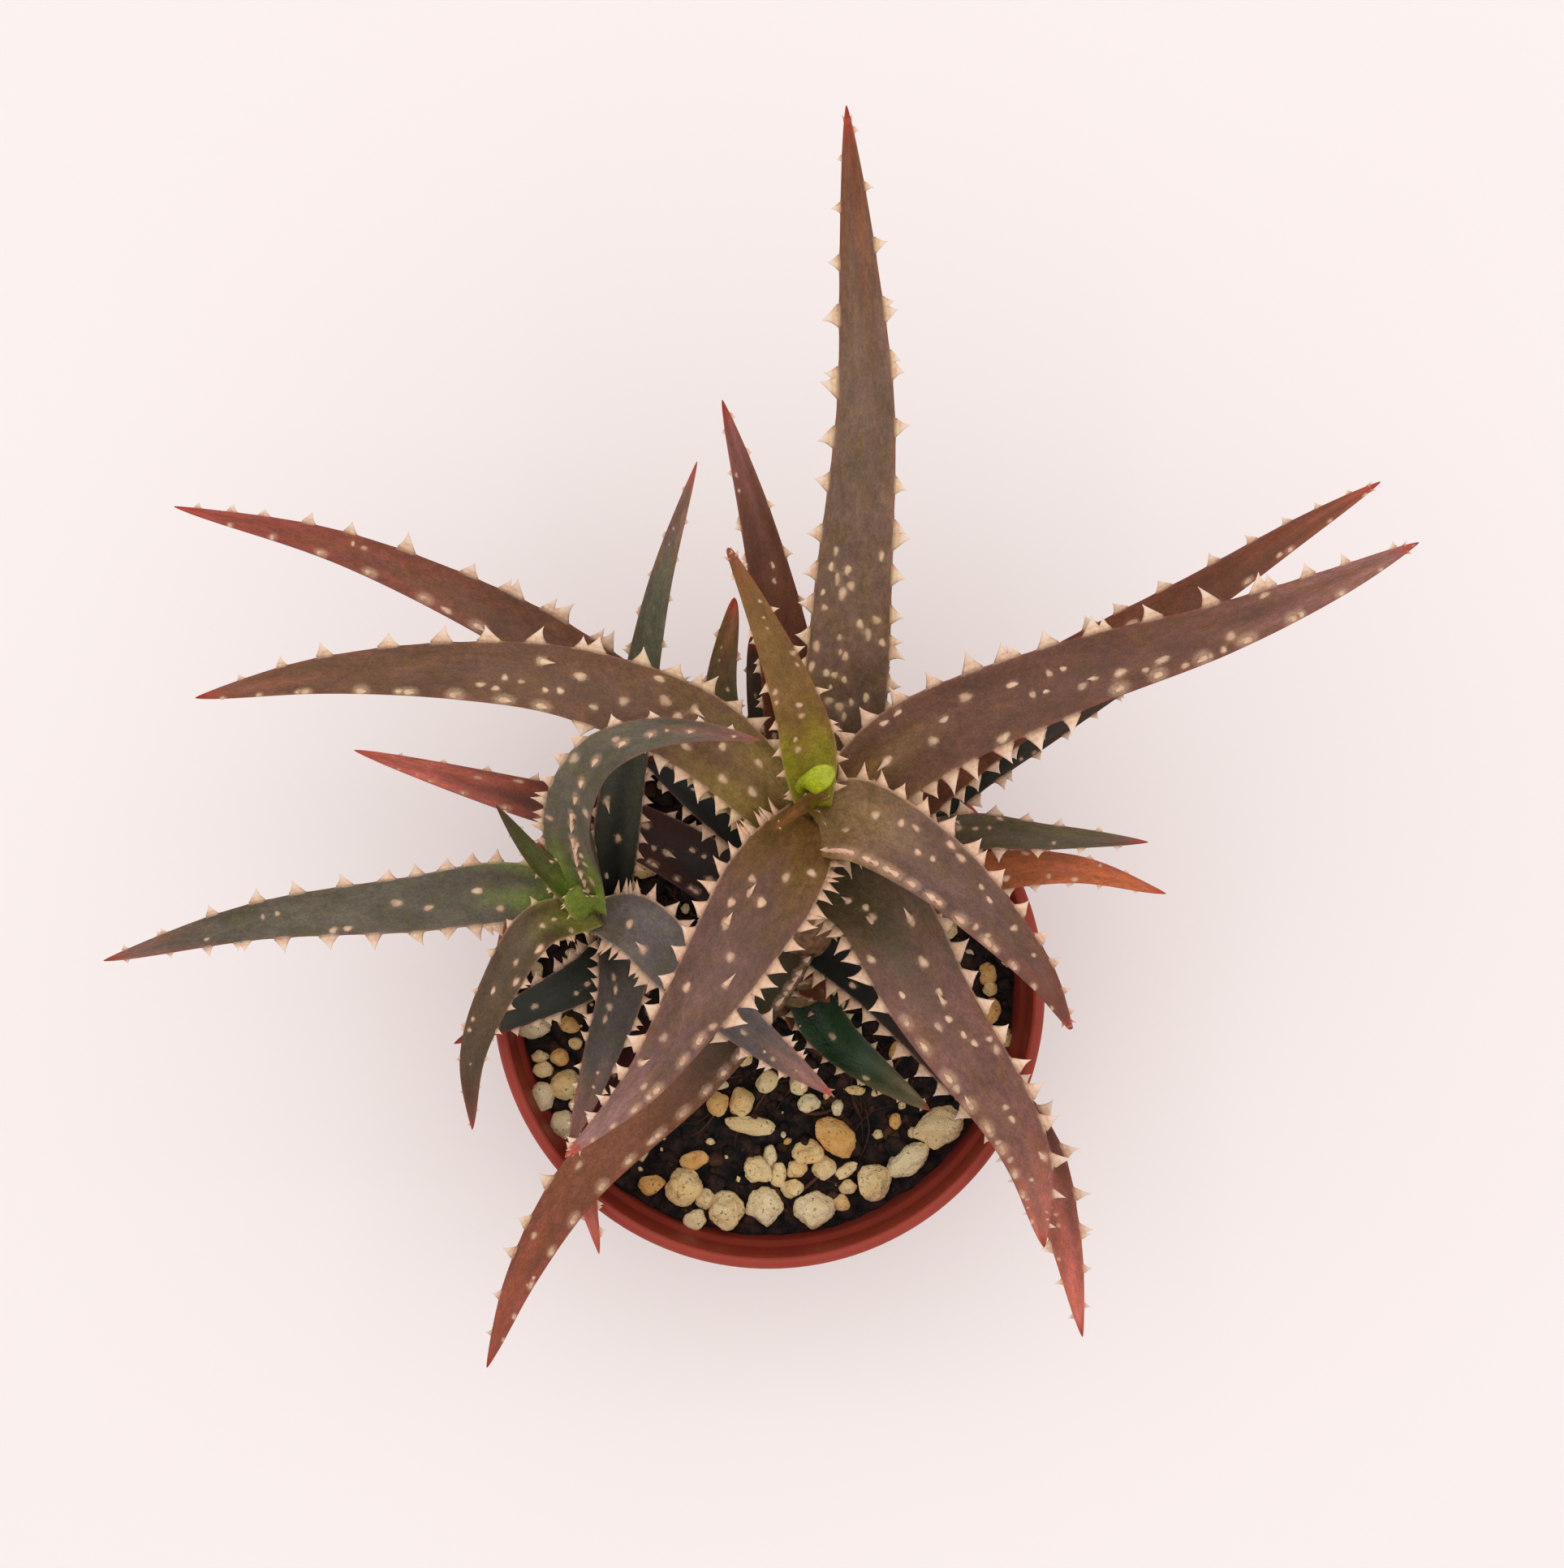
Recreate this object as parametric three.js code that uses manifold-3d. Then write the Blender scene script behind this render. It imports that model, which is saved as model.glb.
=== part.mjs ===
// A potted aloe hybrid: a thin nursery pot, its soil with pumice grains, a leaning main stem with its
// rosette of toothed leaves, and a smaller offset stem with a rosette of its own.
// Millimetres, +Z up. The origin is on the pot's axis, in the plane the pot stands on.
import * as THREE from 'three';
import { mergeVertices } from 'three/addons/utils/BufferGeometryUtils.js';
import Module from 'manifold-3d';

const wasm = await Module();
wasm.setup();

// Pot
const POT_HEIGHT = 85;
const RIM_RADIUS = 52.5;
const RIM_BAND_HEIGHT = 10;
const LIP_WIDTH = 2.4;
const BAND_OVERHANG = 2.6;
const BASE_RADIUS = 37;
const WALL = 1.3;
const FLOOR = 1.8;
const DRAIN_HOLES = 6;
const DRAIN_RADIUS = 3.5;
const DRAIN_CIRCLE = 27;
const POT_SIDES = 40;

// Soil
const SOIL_LEVEL = 72.5;
const SOIL_SLOPE = 0.055;
const SOIL_WAVE = 0.5;
const SOIL_RINGS = 3;
const GRAIN_SEED = 11;
const GRAIN_COUNT = 56;
const GRAIN_FRONT_SHARE = 0.6;
const GRAIN_FRONT_ARC = THREE.MathUtils.degToRad(75);
const GRAIN_RADIUS = [2, 3.7];
const GRAIN_SINK = 0.25;
const GRAIN_TRIES = 8000;

// Clearance between pieces that touch
const GAP = 0.35;

// Stems, each a bowed line whose height grows evenly along it
const MAIN_STEM = {
  foot: [5.5, -8, 59.3],
  bend: [6, 9, 94.4],
  top: [8.3, 38.5, 129.5],
  radius: [6.4, 4.6],
};
const OFFSET_STEM = {
  foot: [-25, 8, 59.3],
  bend: [-27, 12, 87.9],
  top: [-33, 18.5, 116.5],
  radius: [4, 3],
};
const STEM_SIDES = 10;
const STEM_RINGS = 8;
const STEM_SCAR = 0.25;

// Dry bases of fallen leaves on the foot of the main stem
const DRY_BASES = 6;
const DRY_BASE_FIRST = 75;
const DRY_BASE_STEP = 2.4;
const DRY_BASE_TURN = THREE.MathUtils.degToRad(137.5);
const DRY_BASE_START = THREE.MathUtils.degToRad(-100);
const DRY_BASE_REACH = 10;
const DRY_BASE_RISE = 5;
const DRY_BASE_WIDTH = 8.5;

// Leaves
const LEAF_THICKNESS = 0.3;
const LEAF_CHANNEL = 0.16;
const LEAF_BASE = 0.62;
const LEAF_PEAK = 0.24;
const LEAF_SHOULDER = 1.15;
const LEAF_TAPER = 0.72;
const LEAF_LEAN_BACK = 0.35;
const LEAF_RING_STEP = 9.5;
const LEAF_THIN_END = 0.25;
const THINNEST = 0.7;
const TOOTH_HEIGHT = 2.9;
const TOOTH_LENGTH = 3.2;
const TOOTH_THICKNESS = 1.3;
const TOOTH_STEP = 10.5;
const TOOTH_HOOK = 0.9;
const TOOTH_ROOT = 1.2;
const TEETH_FROM = 0.12;
const TEETH_TO = 0.97;
const SMALL_TOOTH = 0.45;
const FULL_TOOTH_HALF_WIDTH = 4;

// Colours
const SKINS = {
  brown: 0x76503f,
  purple: 0x70544a,
  olive: 0x6b5a38,
  red: 0x8a4233,
  green: 0x3c4a33,
  grey_green: 0x62645a,
  orange: 0xa05c38,
  bright_green: 0x93a53a,
  terracotta: 0x8f3d2a,
  soil: 0x2c221c,
  stem: 0x7a5a3a,
};

// Each leaf leaves its stem at height `at` and runs through the points of `path`, millimetres in the
// part's frame, to its tip. `width` is its greatest width. Leaves that lie on top come first.
const MAIN_LEAVES = [
  { name: 'leaf_young_upright', at: 126, width: 10, skin: 'olive',
    path: [[6.5, 48, 138], [3, 58, 150], [-2, 69, 161], [-6, 77, 168]] },
  { name: 'leaf_front_left_wide', at: 123, width: 17.5, skin: 'purple',
    path: [[-1, 20, 135], [-11, 4, 139], [-21, -11, 136], [-35, -25, 128]] },
  { name: 'leaf_front_right_wide', at: 122, width: 15.5, skin: 'purple',
    path: [[16, 33, 131], [28, 26, 137], [37, 18, 136], [47, 7, 128], [54, -4, 116]] },
  { name: 'leaf_left_long', at: 119, width: 14, skin: 'brown',
    path: [[-13, 49, 133], [-34, 57, 137], [-53, 59, 136], [-77, 58.5, 129],
      [-102, 55, 116]] },
  { name: 'leaf_right_long', at: 115, width: 15, skin: 'brown',
    path: [[23, 45, 127], [49, 57, 136], [77, 66, 137], [97, 74, 132], [114, 82, 124]] },
  { name: 'leaf_front_right_long', at: 111, width: 16, skin: 'purple',
    path: [[19, 18, 120], [29, 1, 125], [45, -24, 118], [51, -46, 98]] },
  { name: 'leaf_back_long', at: 109, width: 15.2, skin: 'brown',
    path: [[13, 52, 118], [15, 77, 130], [16.7, 104, 137], [15.3, 130, 138], [13.5, 156, 134]] },
  { name: 'leaf_left_short', at: 112, width: 12, skin: 'olive',
    path: [[-7, 36, 121], [-18, 42, 125], [-28, 46, 126]] },
  { name: 'leaf_left_hidden', at: 105, width: 9, skin: 'green',
    path: [[-3, 30, 110], [-14, 38, 114], [-23, 45, 114]] },
  { name: 'leaf_left_far', at: 100, width: 12.5, skin: 'red',
    path: [[-8, 41, 104], [-31, 59, 109], [-45, 68, 112], [-76, 82, 109], [-110, 91, 98]] },
  { name: 'leaf_back_purple', at: 103, width: 12.5, skin: 'red',
    path: [[5, 49, 109], [3, 64, 116], [-2, 86, 124], [-8, 107, 124]] },
  { name: 'leaf_right_back', at: 104, width: 14, skin: 'olive',
    path: [[27, 41, 109], [51, 58, 116], [76, 73, 121], [93, 84, 123], [108, 93, 121]] },
  { name: 'leaf_back_small', at: 93, width: 8.5, skin: 'olive',
    path: [[-2, 35, 96.5], [-8.5, 54, 106], [-6, 73, 114]] },
  { name: 'leaf_back_tiny', at: 98, width: 4.5, skin: 'green',
    path: [[15, 41, 103], [22, 61, 109]] },
  { name: 'leaf_back_small_dark', at: 89, width: 8, skin: 'green',
    path: [[3, 35, 93], [-1, 53, 98], [-3, 67, 102]] },
  { name: 'leaf_right_dark', at: 94, width: 9.5, skin: 'green',
    path: [[33, 38, 97], [52, 50, 101], [70, 60, 99]] },
  { name: 'leaf_front_left_low', at: 94, width: 12.5, skin: 'brown',
    path: [[1, 5, 97], [-14.5, -13, 101], [-35, -34, 97], [-46, -52, 88], [-55, -74, 72]] },
  { name: 'leaf_front_right_low', at: 93, width: 12, skin: 'red',
    path: [[22, 2, 98], [36, -12, 102], [49, -27, 100], [55, -43, 91], [61, -68, 72]] },
  { name: 'leaf_left_low_red', at: 92, width: 11.5, skin: 'red',
    path: [[-12, 24, 93], [-29, 33, 96], [-46, 37, 99], [-77, 46, 96]] },
  { name: 'leaf_right_green', at: 90, width: 9.5, skin: 'green',
    path: [[33, 30, 97], [52, 30, 102], [70, 29, 100]] },
  { name: 'leaf_right_orange', at: 84, width: 10.5, skin: 'orange',
    path: [[36, 22, 92], [56, 24, 95], [75, 19, 88]] },
  { name: 'leaf_front_low_green', at: 78, width: 9.5, skin: 'bright_green',
    path: [[12, -8, 80], [20, -15, 82], [31, -23, 79]] },
  { name: 'leaf_centre_folded', at: 125, width: 5, skin: 'olive',
    path: [[6, 36, 136], [1, 32, 142]] },
  { name: 'leaf_centre_bud', at: 127, width: 5.5, skin: 'bright_green',
    path: [[9, 40, 136], [9.5, 41, 143]] },
];
const OFFSET_LEAVES = [
  { name: 'offset_leaf_curled', at: 110, width: 11, skin: 'grey_green', face: [-0.5, -0.3, 1],
    path: [[-34, 28, 122], [-33, 37, 136], [-28, 44.5, 144], [-20, 48, 147], [-11, 48.5, 147],
      [-1, 47, 144]] },
  { name: 'offset_leaf_crossing', at: 104, width: 11, skin: 'grey_green',
    path: [[-23, 14, 112], [-15, 6, 112], [-2, -6, 108], [12, -18, 98]] },
  { name: 'offset_leaf_front_green', at: 106, width: 8, skin: 'olive',
    path: [[-41, 14, 116], [-48, 3, 118], [-53, -9, 112], [-54.5, -24, 100]] },
  { name: 'offset_leaf_young', at: 109, width: 6, skin: 'bright_green',
    path: [[-41, 27, 120], [-47, 36, 129]] },
  { name: 'offset_leaf_left_long', at: 102, width: 11, skin: 'grey_green',
    path: [[-45, 20, 108], [-65, 18, 112], [-92, 15, 110], [-123, 7, 98]] },
  { name: 'offset_leaf_upright', at: 96, width: 8.5, skin: 'grey_green',
    path: [[-27, 34, 108], [-23, 55, 119], [-18.5, 75, 128], [-12, 95, 134]] },
  { name: 'offset_leaf_front_grey', at: 94, width: 9, skin: 'grey_green',
    path: [[-27, 3, 99], [-31, -11, 102], [-37, -28, 96]] },
  { name: 'offset_leaf_low_dark', at: 87, width: 9, skin: 'green',
    path: [[-32, 5, 91], [-45, -2, 94], [-59, -9, 91]] },
  { name: 'offset_leaf_front_low', at: 82, width: 9, skin: 'red',
    path: [[-24, -4, 85], [-29, -19, 92], [-34, -32, 93], [-32, -49, 88]] },
  { name: 'offset_leaf_centre', at: 113, width: 4.5, skin: 'bright_green',
    path: [[-33, 20.5, 122], [-32, 22, 127]] },
];

const UP = new THREE.Vector3(0, 0, 1);

// A repeatable source of numbers from 0 to 1.
function seededRandom(seed) {
  let state = seed;
  return () => {
    state = (state * 1664525 + 1013904223) % 4294967296;
    return state / 4294967296;
  };
}

function solidOf(geometry) {
  const bare = geometry.clone();
  bare.deleteAttribute('normal');
  bare.deleteAttribute('uv');
  const merged = mergeVertices(bare, 1e-4);
  return new wasm.Manifold(new wasm.Mesh({
    numProp: 3,
    vertProperties: merged.attributes.position.array,
    triVerts: new Uint32Array(merged.index.array),
  }));
}

function geometryOf(solid) {
  const mesh = solid.getMesh();
  const geometry = new THREE.BufferGeometry();
  geometry.setAttribute('position', new THREE.BufferAttribute(mesh.vertProperties, 3));
  geometry.setIndex(new THREE.BufferAttribute(mesh.triVerts, 1));
  geometry.computeVertexNormals();
  return geometry;
}

// Joins rings of equal point count into one closed solid, ending in a tip point where one is given.
function loftGeometry(rings, tip) {
  const points = rings.flat();
  const sides = rings[0].length;
  const faces = [];
  for (let i = 0; i < rings.length - 1; i++) {
    for (let j = 0; j < sides; j++) {
      const a = i * sides + j;
      const b = i * sides + (j + 1) % sides;
      faces.push(a, b, b + sides, a, b + sides, a + sides);
    }
  }
  for (let j = 1; j < sides - 1; j++) {
    faces.push(0, j + 1, j);
  }
  const last = (rings.length - 1) * sides;
  if (tip) {
    points.push(tip);
    for (let j = 0; j < sides; j++) {
      faces.push(last + j, last + (j + 1) % sides, points.length - 1);
    }
  } else {
    for (let j = 1; j < sides - 1; j++) {
      faces.push(last, last + j, last + j + 1);
    }
  }
  const geometry = new THREE.BufferGeometry();
  geometry.setAttribute('position',
    new THREE.Float32BufferAttribute(points.flatMap((p) => [p.x, p.y, p.z]), 3));
  geometry.setIndex(faces);
  return geometry;
}

function material(skin, roughness) {
  return new THREE.MeshStandardMaterial({ color: SKINS[skin], roughness, metalness: 0 });
}

// Stems

function stemPoint(stem, height) {
  const t = (height - stem.foot[2]) / (stem.top[2] - stem.foot[2]);
  const curve = new THREE.QuadraticBezierCurve3(
    new THREE.Vector3(...stem.foot),
    new THREE.Vector3(...stem.bend),
    new THREE.Vector3(...stem.top),
  );
  return curve.getPoint(t);
}

function stemSolid(stem, grow) {
  const bottom = stem.foot[2] - grow;
  const top = stem.top[2] + grow;
  const rings = [];
  for (let i = 0; i <= STEM_RINGS; i++) {
    const along = i / STEM_RINGS;
    const centre = stemPoint(stem, THREE.MathUtils.lerp(bottom, top, along));
    const scar = i % 2 ? STEM_SCAR : 0;
    const radius = THREE.MathUtils.lerp(...stem.radius, along) + grow - scar;
    rings.push(Array.from({ length: STEM_SIDES }, (_, j) => {
      const angle = (j / STEM_SIDES) * 2 * Math.PI;
      return new THREE.Vector3(
        centre.x + radius * Math.cos(angle),
        centre.y + radius * Math.sin(angle),
        centre.z,
      );
    }));
  }
  return solidOf(loftGeometry(rings));
}

// Leaves

function leafCurve(leaf, stem) {
  const points = [stemPoint(stem, leaf.at), ...leaf.path.map((p) => new THREE.Vector3(...p))];
  return new THREE.CatmullRomCurve3(points);
}

// The share of the leaf's greatest width at a share `s` of its length.
function leafProfile(s) {
  if (s < LEAF_PEAK) {
    return LEAF_BASE + (1 - LEAF_BASE) * Math.sin((Math.PI / 2) * (s / LEAF_PEAK));
  }
  const u = (s - LEAF_PEAK) / (1 - LEAF_PEAK);
  return (1 - u ** LEAF_SHOULDER) ** LEAF_TAPER;
}

// Position, tangent, side and face directions at a share `s` of the leaf's length.
function leafFrame(leaf, curve, s) {
  const point = curve.getPointAt(s);
  const along = curve.getTangentAt(s);
  const heading = curve.getPoint(1).sub(curve.getPoint(0)).setZ(0).normalize();
  const face = leaf.face
    ? new THREE.Vector3(...leaf.face)
    : UP.clone().addScaledVector(heading, -LEAF_LEAN_BACK);
  const side = new THREE.Vector3().crossVectors(along, face).normalize();
  const normal = new THREE.Vector3().crossVectors(side, along).normalize();
  return { point, along, side, normal };
}

// The leaf's section: a shallow channel above, a rounded back below, and thin edges. `grow` adds room
// on every side.
function leafRing(leaf, curve, s, grow) {
  const { point, side, normal } = leafFrame(leaf, curve, s);
  const share = leafProfile(s);
  const half = (leaf.width / 2) * share + 2 * grow;
  const thick = Math.max(
    leaf.width * LEAF_THICKNESS * THREE.MathUtils.lerp(LEAF_THIN_END, 1, share),
    THINNEST,
  );
  const lift = leaf.width * LEAF_CHANNEL * share;
  const place = (across, depth) => {
    const room = grow * (depth > 0.5 ? -1 : 1);
    return point.clone()
      .addScaledVector(side, across * half)
      .addScaledVector(normal, lift * across * across - depth * thick + room);
  };
  return [
    place(-1, 0.15), place(-0.5, 0), place(0, 0), place(0.5, 0),
    place(1, 0.15), place(0.5, 0.75), place(0, 1), place(-0.5, 0.75),
  ];
}

function leafBlade(leaf, curve, grow) {
  const length = curve.getLength();
  const count = Math.max(4, Math.round(length / LEAF_RING_STEP));
  const rings = [];
  for (let i = 0; i < count; i++) {
    rings.push(leafRing(leaf, curve, i / count, grow));
  }
  const back = curve.getTangentAt(0).multiplyScalar(-1.5 * grow);
  rings[0].forEach((p) => p.add(back));
  const tip = curve.getPoint(1).addScaledVector(curve.getTangentAt(1), 4 * grow);
  return solidOf(loftGeometry(rings, tip));
}

// One marginal tooth: a three-sided spike whose root is sunk in the leaf's edge.
function toothSolid(leaf, curve, s, hand, grow) {
  const { point, along, side, normal } = leafFrame(leaf, curve, s);
  const half = (leaf.width / 2) * leafProfile(s);
  const size = THREE.MathUtils.clamp(half / FULL_TOOTH_HALF_WIDTH, SMALL_TOOTH, 1);
  const edge = point.clone()
    .addScaledVector(side, hand * half)
    .addScaledVector(normal, leaf.width * LEAF_CHANNEL * leafProfile(s) - 0.2);
  const out = side.clone().multiplyScalar(hand);
  const at = (outward, forward, up) => edge.clone()
    .addScaledVector(out, outward)
    .addScaledVector(along, forward)
    .addScaledVector(normal, up);
  const sunk = -Math.min(TOOTH_ROOT, half * 0.5);
  const reach = (TOOTH_LENGTH / 2) * size + 2 * grow;
  const tip = at(TOOTH_HEIGHT * size + 3 * grow, TOOTH_HOOK * size, 0.3);
  const root = [
    at(sunk, -reach, TOOTH_THICKNESS * 0.35 * size + 1.4 * grow),
    at(sunk, reach, TOOTH_THICKNESS * 0.35 * size + 1.4 * grow),
    at(sunk, 0, -TOOTH_THICKNESS * 0.65 * size - 2 * grow),
  ];
  const ring = hand < 0 ? root : [root[1], root[0], root[2]];
  return solidOf(loftGeometry([ring], tip));
}

function leafTeeth(leaf, curve, grow) {
  const length = curve.getLength();
  const count = Math.floor((length * (TEETH_TO - TEETH_FROM)) / TOOTH_STEP);
  const teeth = [];
  for (const hand of [-1, 1]) {
    for (let i = 0; i < count; i++) {
      const stagger = hand > 0 ? 0.25 : 0.65;
      const s = THREE.MathUtils.lerp(TEETH_FROM, TEETH_TO, (i + stagger) / count);
      teeth.push(toothSolid(leaf, curve, s, hand, grow));
    }
  }
  return teeth;
}

function leafSolid(leaf, curve, grow) {
  return wasm.Manifold.union([leafBlade(leaf, curve, grow), ...leafTeeth(leaf, curve, grow)]);
}

function largestPiece(solid) {
  return solid.decompose().sort((a, b) => b.volume() - a.volume())[0];
}

// The dry leaf bases turn round the main stem as its leaves do.
function dryBases(grow) {
  return Array.from({ length: DRY_BASES }, (_, i) => {
    const at = DRY_BASE_FIRST + i * DRY_BASE_STEP;
    const heading = DRY_BASE_START + i * DRY_BASE_TURN;
    const tip = stemPoint(MAIN_STEM, at).add(new THREE.Vector3(
      DRY_BASE_REACH * Math.cos(heading),
      DRY_BASE_REACH * Math.sin(heading),
      DRY_BASE_RISE,
    ));
    const base = { at, width: DRY_BASE_WIDTH, path: [tip.toArray()] };
    return leafBlade(base, leafCurve(base, MAIN_STEM), grow);
  });
}

function mainStemSolid(grow) {
  return wasm.Manifold.union([stemSolid(MAIN_STEM, grow), ...dryBases(grow)]);
}

// Builds the leaves in order; each one makes room for the stems and for the leaves before it.
function buildLeaves(tables) {
  const kept = [mainStemSolid(GAP), stemSolid(OFFSET_STEM, GAP)];
  const meshes = [];
  for (const { stem, leaves } of tables) {
    for (const leaf of leaves) {
      const curve = leafCurve(leaf, stem);
      let solid = leafSolid(leaf, curve, 0);
      for (const other of kept) {
        solid = solid.subtract(other);
      }
      kept.push(leafSolid(leaf, curve, GAP));
      const mesh = new THREE.Mesh(geometryOf(largestPiece(solid)), material(leaf.skin, 0.5));
      mesh.name = leaf.name;
      meshes.push(mesh);
    }
  }
  return meshes;
}

// Pot

// The inner radius of the pot's wall at a height above its floor.
function potInner(height) {
  const neck = RIM_RADIUS - BAND_OVERHANG;
  const under = POT_HEIGHT - RIM_BAND_HEIGHT;
  return BASE_RADIUS + (neck - BASE_RADIUS) * (height / under) - WALL;
}

function buildPot() {
  const under = POT_HEIGHT - RIM_BAND_HEIGHT;
  const neck = RIM_RADIUS - BAND_OVERHANG;
  const mouth = RIM_RADIUS - LIP_WIDTH;
  const outline = [
    [0, 0],
    [BASE_RADIUS, 0],
    [neck, under],
    [RIM_RADIUS - 0.7, under],
    [RIM_RADIUS, POT_HEIGHT - 0.8],
    [RIM_RADIUS - 0.8, POT_HEIGHT],
    [mouth + 0.4, POT_HEIGHT],
    [mouth, POT_HEIGHT - 0.5],
    [mouth - 0.4, under + 1.5],
    [potInner(under), under],
    [potInner(FLOOR), FLOOR],
    [0, FLOOR],
  ].map(([r, z]) => new THREE.Vector2(r, z));
  const lathe = new THREE.LatheGeometry(outline, POT_SIDES).rotateX(Math.PI / 2);
  let solid = solidOf(lathe);
  for (let i = 0; i < DRAIN_HOLES; i++) {
    const angle = (i / DRAIN_HOLES) * 2 * Math.PI;
    const drill = new THREE.CylinderGeometry(DRAIN_RADIUS, DRAIN_RADIUS, 3 * FLOOR, 16)
      .rotateX(Math.PI / 2)
      .translate(DRAIN_CIRCLE * Math.cos(angle), DRAIN_CIRCLE * Math.sin(angle), FLOOR / 2);
    solid = solid.subtract(solidOf(drill));
  }
  const mesh = new THREE.Mesh(geometryOf(solid), material('terracotta', 0.45));
  mesh.name = 'pot';
  return mesh;
}

// Soil

// The soil's surface: lower towards +X, with a slight wave.
function soilHeight(x, y) {
  return SOIL_LEVEL - SOIL_SLOPE * x + SOIL_WAVE * Math.sin(x / 7) * Math.cos(y / 9);
}

function soilBed() {
  const wallGap = GAP + 0.2;
  const bottom = FLOOR + GAP;
  const ring = (radius, heightAt) => Array.from({ length: POT_SIDES }, (_, j) => {
    const angle = (j / POT_SIDES) * 2 * Math.PI;
    const x = radius * Math.cos(angle);
    const y = radius * Math.sin(angle);
    return new THREE.Vector3(x, y, heightAt(x, y));
  });
  const edge = potInner(SOIL_LEVEL - SOIL_SLOPE * RIM_RADIUS) - wallGap;
  const rings = [ring(potInner(bottom) - wallGap, () => bottom)];
  for (let i = 0; i < SOIL_RINGS; i++) {
    rings.push(ring(edge * (1 - i / SOIL_RINGS), soilHeight));
  }
  return solidOf(loftGeometry(rings, new THREE.Vector3(0, 0, soilHeight(0, 0))));
}

// Pumice grains: most lie in a loose band along the front of the wall, the rest are scattered.
function grainSolids() {
  const random = seededRandom(GRAIN_SEED);
  const placed = [];
  const grains = [];
  for (let tries = 0; placed.length < GRAIN_COUNT && tries < GRAIN_TRIES; tries++) {
    const atFront = placed.length < GRAIN_COUNT * GRAIN_FRONT_SHARE;
    const angle = -Math.PI / 2 + (2 * random() - 1) * (atFront ? GRAIN_FRONT_ARC : Math.PI);
    const size = THREE.MathUtils.lerp(...GRAIN_RADIUS, random() ** 1.4);
    const outer = potInner(SOIL_LEVEL - SOIL_SLOPE * RIM_RADIUS) - size * 1.3 - 1;
    const radius = outer * (1 - random() * (atFront ? 0.3 : 0.8));
    const x = radius * Math.cos(angle);
    const y = radius * Math.sin(angle);
    if (placed.some((p) => Math.hypot(p.x - x, p.y - y) < p.size + size + 0.3)) {
      continue;
    }
    placed.push({ x, y, size });
    const grain = new THREE.IcosahedronGeometry(size, 0)
      .scale(1 + 0.25 * random(), 1, 0.75)
      .rotateX(0.5 * random())
      .rotateZ(2 * Math.PI * random())
      .translate(x, y, soilHeight(x, y) + size * (0.75 - GRAIN_SINK));
    grains.push(solidOf(grain));
  }
  return grains;
}

function buildSoil() {
  let solid = wasm.Manifold.union([soilBed(), ...grainSolids()]);
  solid = solid.subtract(mainStemSolid(GAP)).subtract(stemSolid(OFFSET_STEM, GAP));
  const mesh = new THREE.Mesh(geometryOf(largestPiece(solid)), material('soil', 0.95));
  mesh.name = 'soil_with_pumice';
  return mesh;
}

function buildStem(name, solid) {
  const mesh = new THREE.Mesh(geometryOf(solid), material('stem', 0.8));
  mesh.name = name;
  return mesh;
}

const aloe = new THREE.Group();
const plant = new THREE.Group();
plant.add(buildStem('main_stem', mainStemSolid(0)));
plant.add(buildStem('offset_stem', stemSolid(OFFSET_STEM, 0)));
plant.add(...buildLeaves([
  { stem: MAIN_STEM, leaves: MAIN_LEAVES },
  { stem: OFFSET_STEM, leaves: OFFSET_LEAVES },
]));
aloe.add(buildPot(), buildSoil(), plant);

export default aloe;
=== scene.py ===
import math
import random
from dataclasses import dataclass
from functools import cache
from typing import NamedTuple

import bmesh
import bpy
import numpy as np
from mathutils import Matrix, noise


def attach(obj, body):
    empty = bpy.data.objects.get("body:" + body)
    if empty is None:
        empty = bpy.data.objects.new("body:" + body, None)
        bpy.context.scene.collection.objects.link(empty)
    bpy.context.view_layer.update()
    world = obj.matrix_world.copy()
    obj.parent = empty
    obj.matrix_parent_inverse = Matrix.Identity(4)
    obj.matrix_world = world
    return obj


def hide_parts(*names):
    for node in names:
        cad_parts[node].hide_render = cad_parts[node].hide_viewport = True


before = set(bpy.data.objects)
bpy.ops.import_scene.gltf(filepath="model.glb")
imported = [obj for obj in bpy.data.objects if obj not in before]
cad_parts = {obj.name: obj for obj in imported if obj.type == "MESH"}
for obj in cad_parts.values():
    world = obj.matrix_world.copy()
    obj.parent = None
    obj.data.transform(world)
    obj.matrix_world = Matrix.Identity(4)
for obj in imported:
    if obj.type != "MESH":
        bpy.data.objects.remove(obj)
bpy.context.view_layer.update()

# Lengths are in millimetres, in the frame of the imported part, until a mesh or a camera is made.
MM = 0.001

# Camera: straight down, at the height and place that the photograph's perspective gives
CAMERA_PLACE = (2.5, 39.7, 585.0)
SENSOR_WIDTH = 36.0
IMAGE_LONG_SIDE = 1932
FOCAL_PIXELS = 3247

# Backdrop and lamp; the lamp's size and place are in metres
BACKDROP_REACH = 3000
LAMP_SIZE = (1.2, 1.0)
LAMP_PLACE = (0.03, 0.2, 1.35)
LAMP_TILT = (math.radians(-7), math.radians(1), 0)

# Pot
POT_HEIGHT = 85.0
RIM_RADIUS = 52.5
RIM_BAND_HEIGHT = 10.0
LIP_WIDTH = 2.4
BAND_OVERHANG = 2.6
BASE_RADIUS = 37.0
WALL = 1.3
FLOOR = 1.8
DRAIN_HOLES = 6
DRAIN_RADIUS = 3.5
DRAIN_CIRCLE = 27.0
DRAIN_SIDES = 32
POT_SIDES = 180
POT_CENTRE_DISC = 4
NECK = RIM_RADIUS - BAND_OVERHANG
MOUTH = RIM_RADIUS - LIP_WIDTH
UNDER_BAND = POT_HEIGHT - RIM_BAND_HEIGHT

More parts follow.
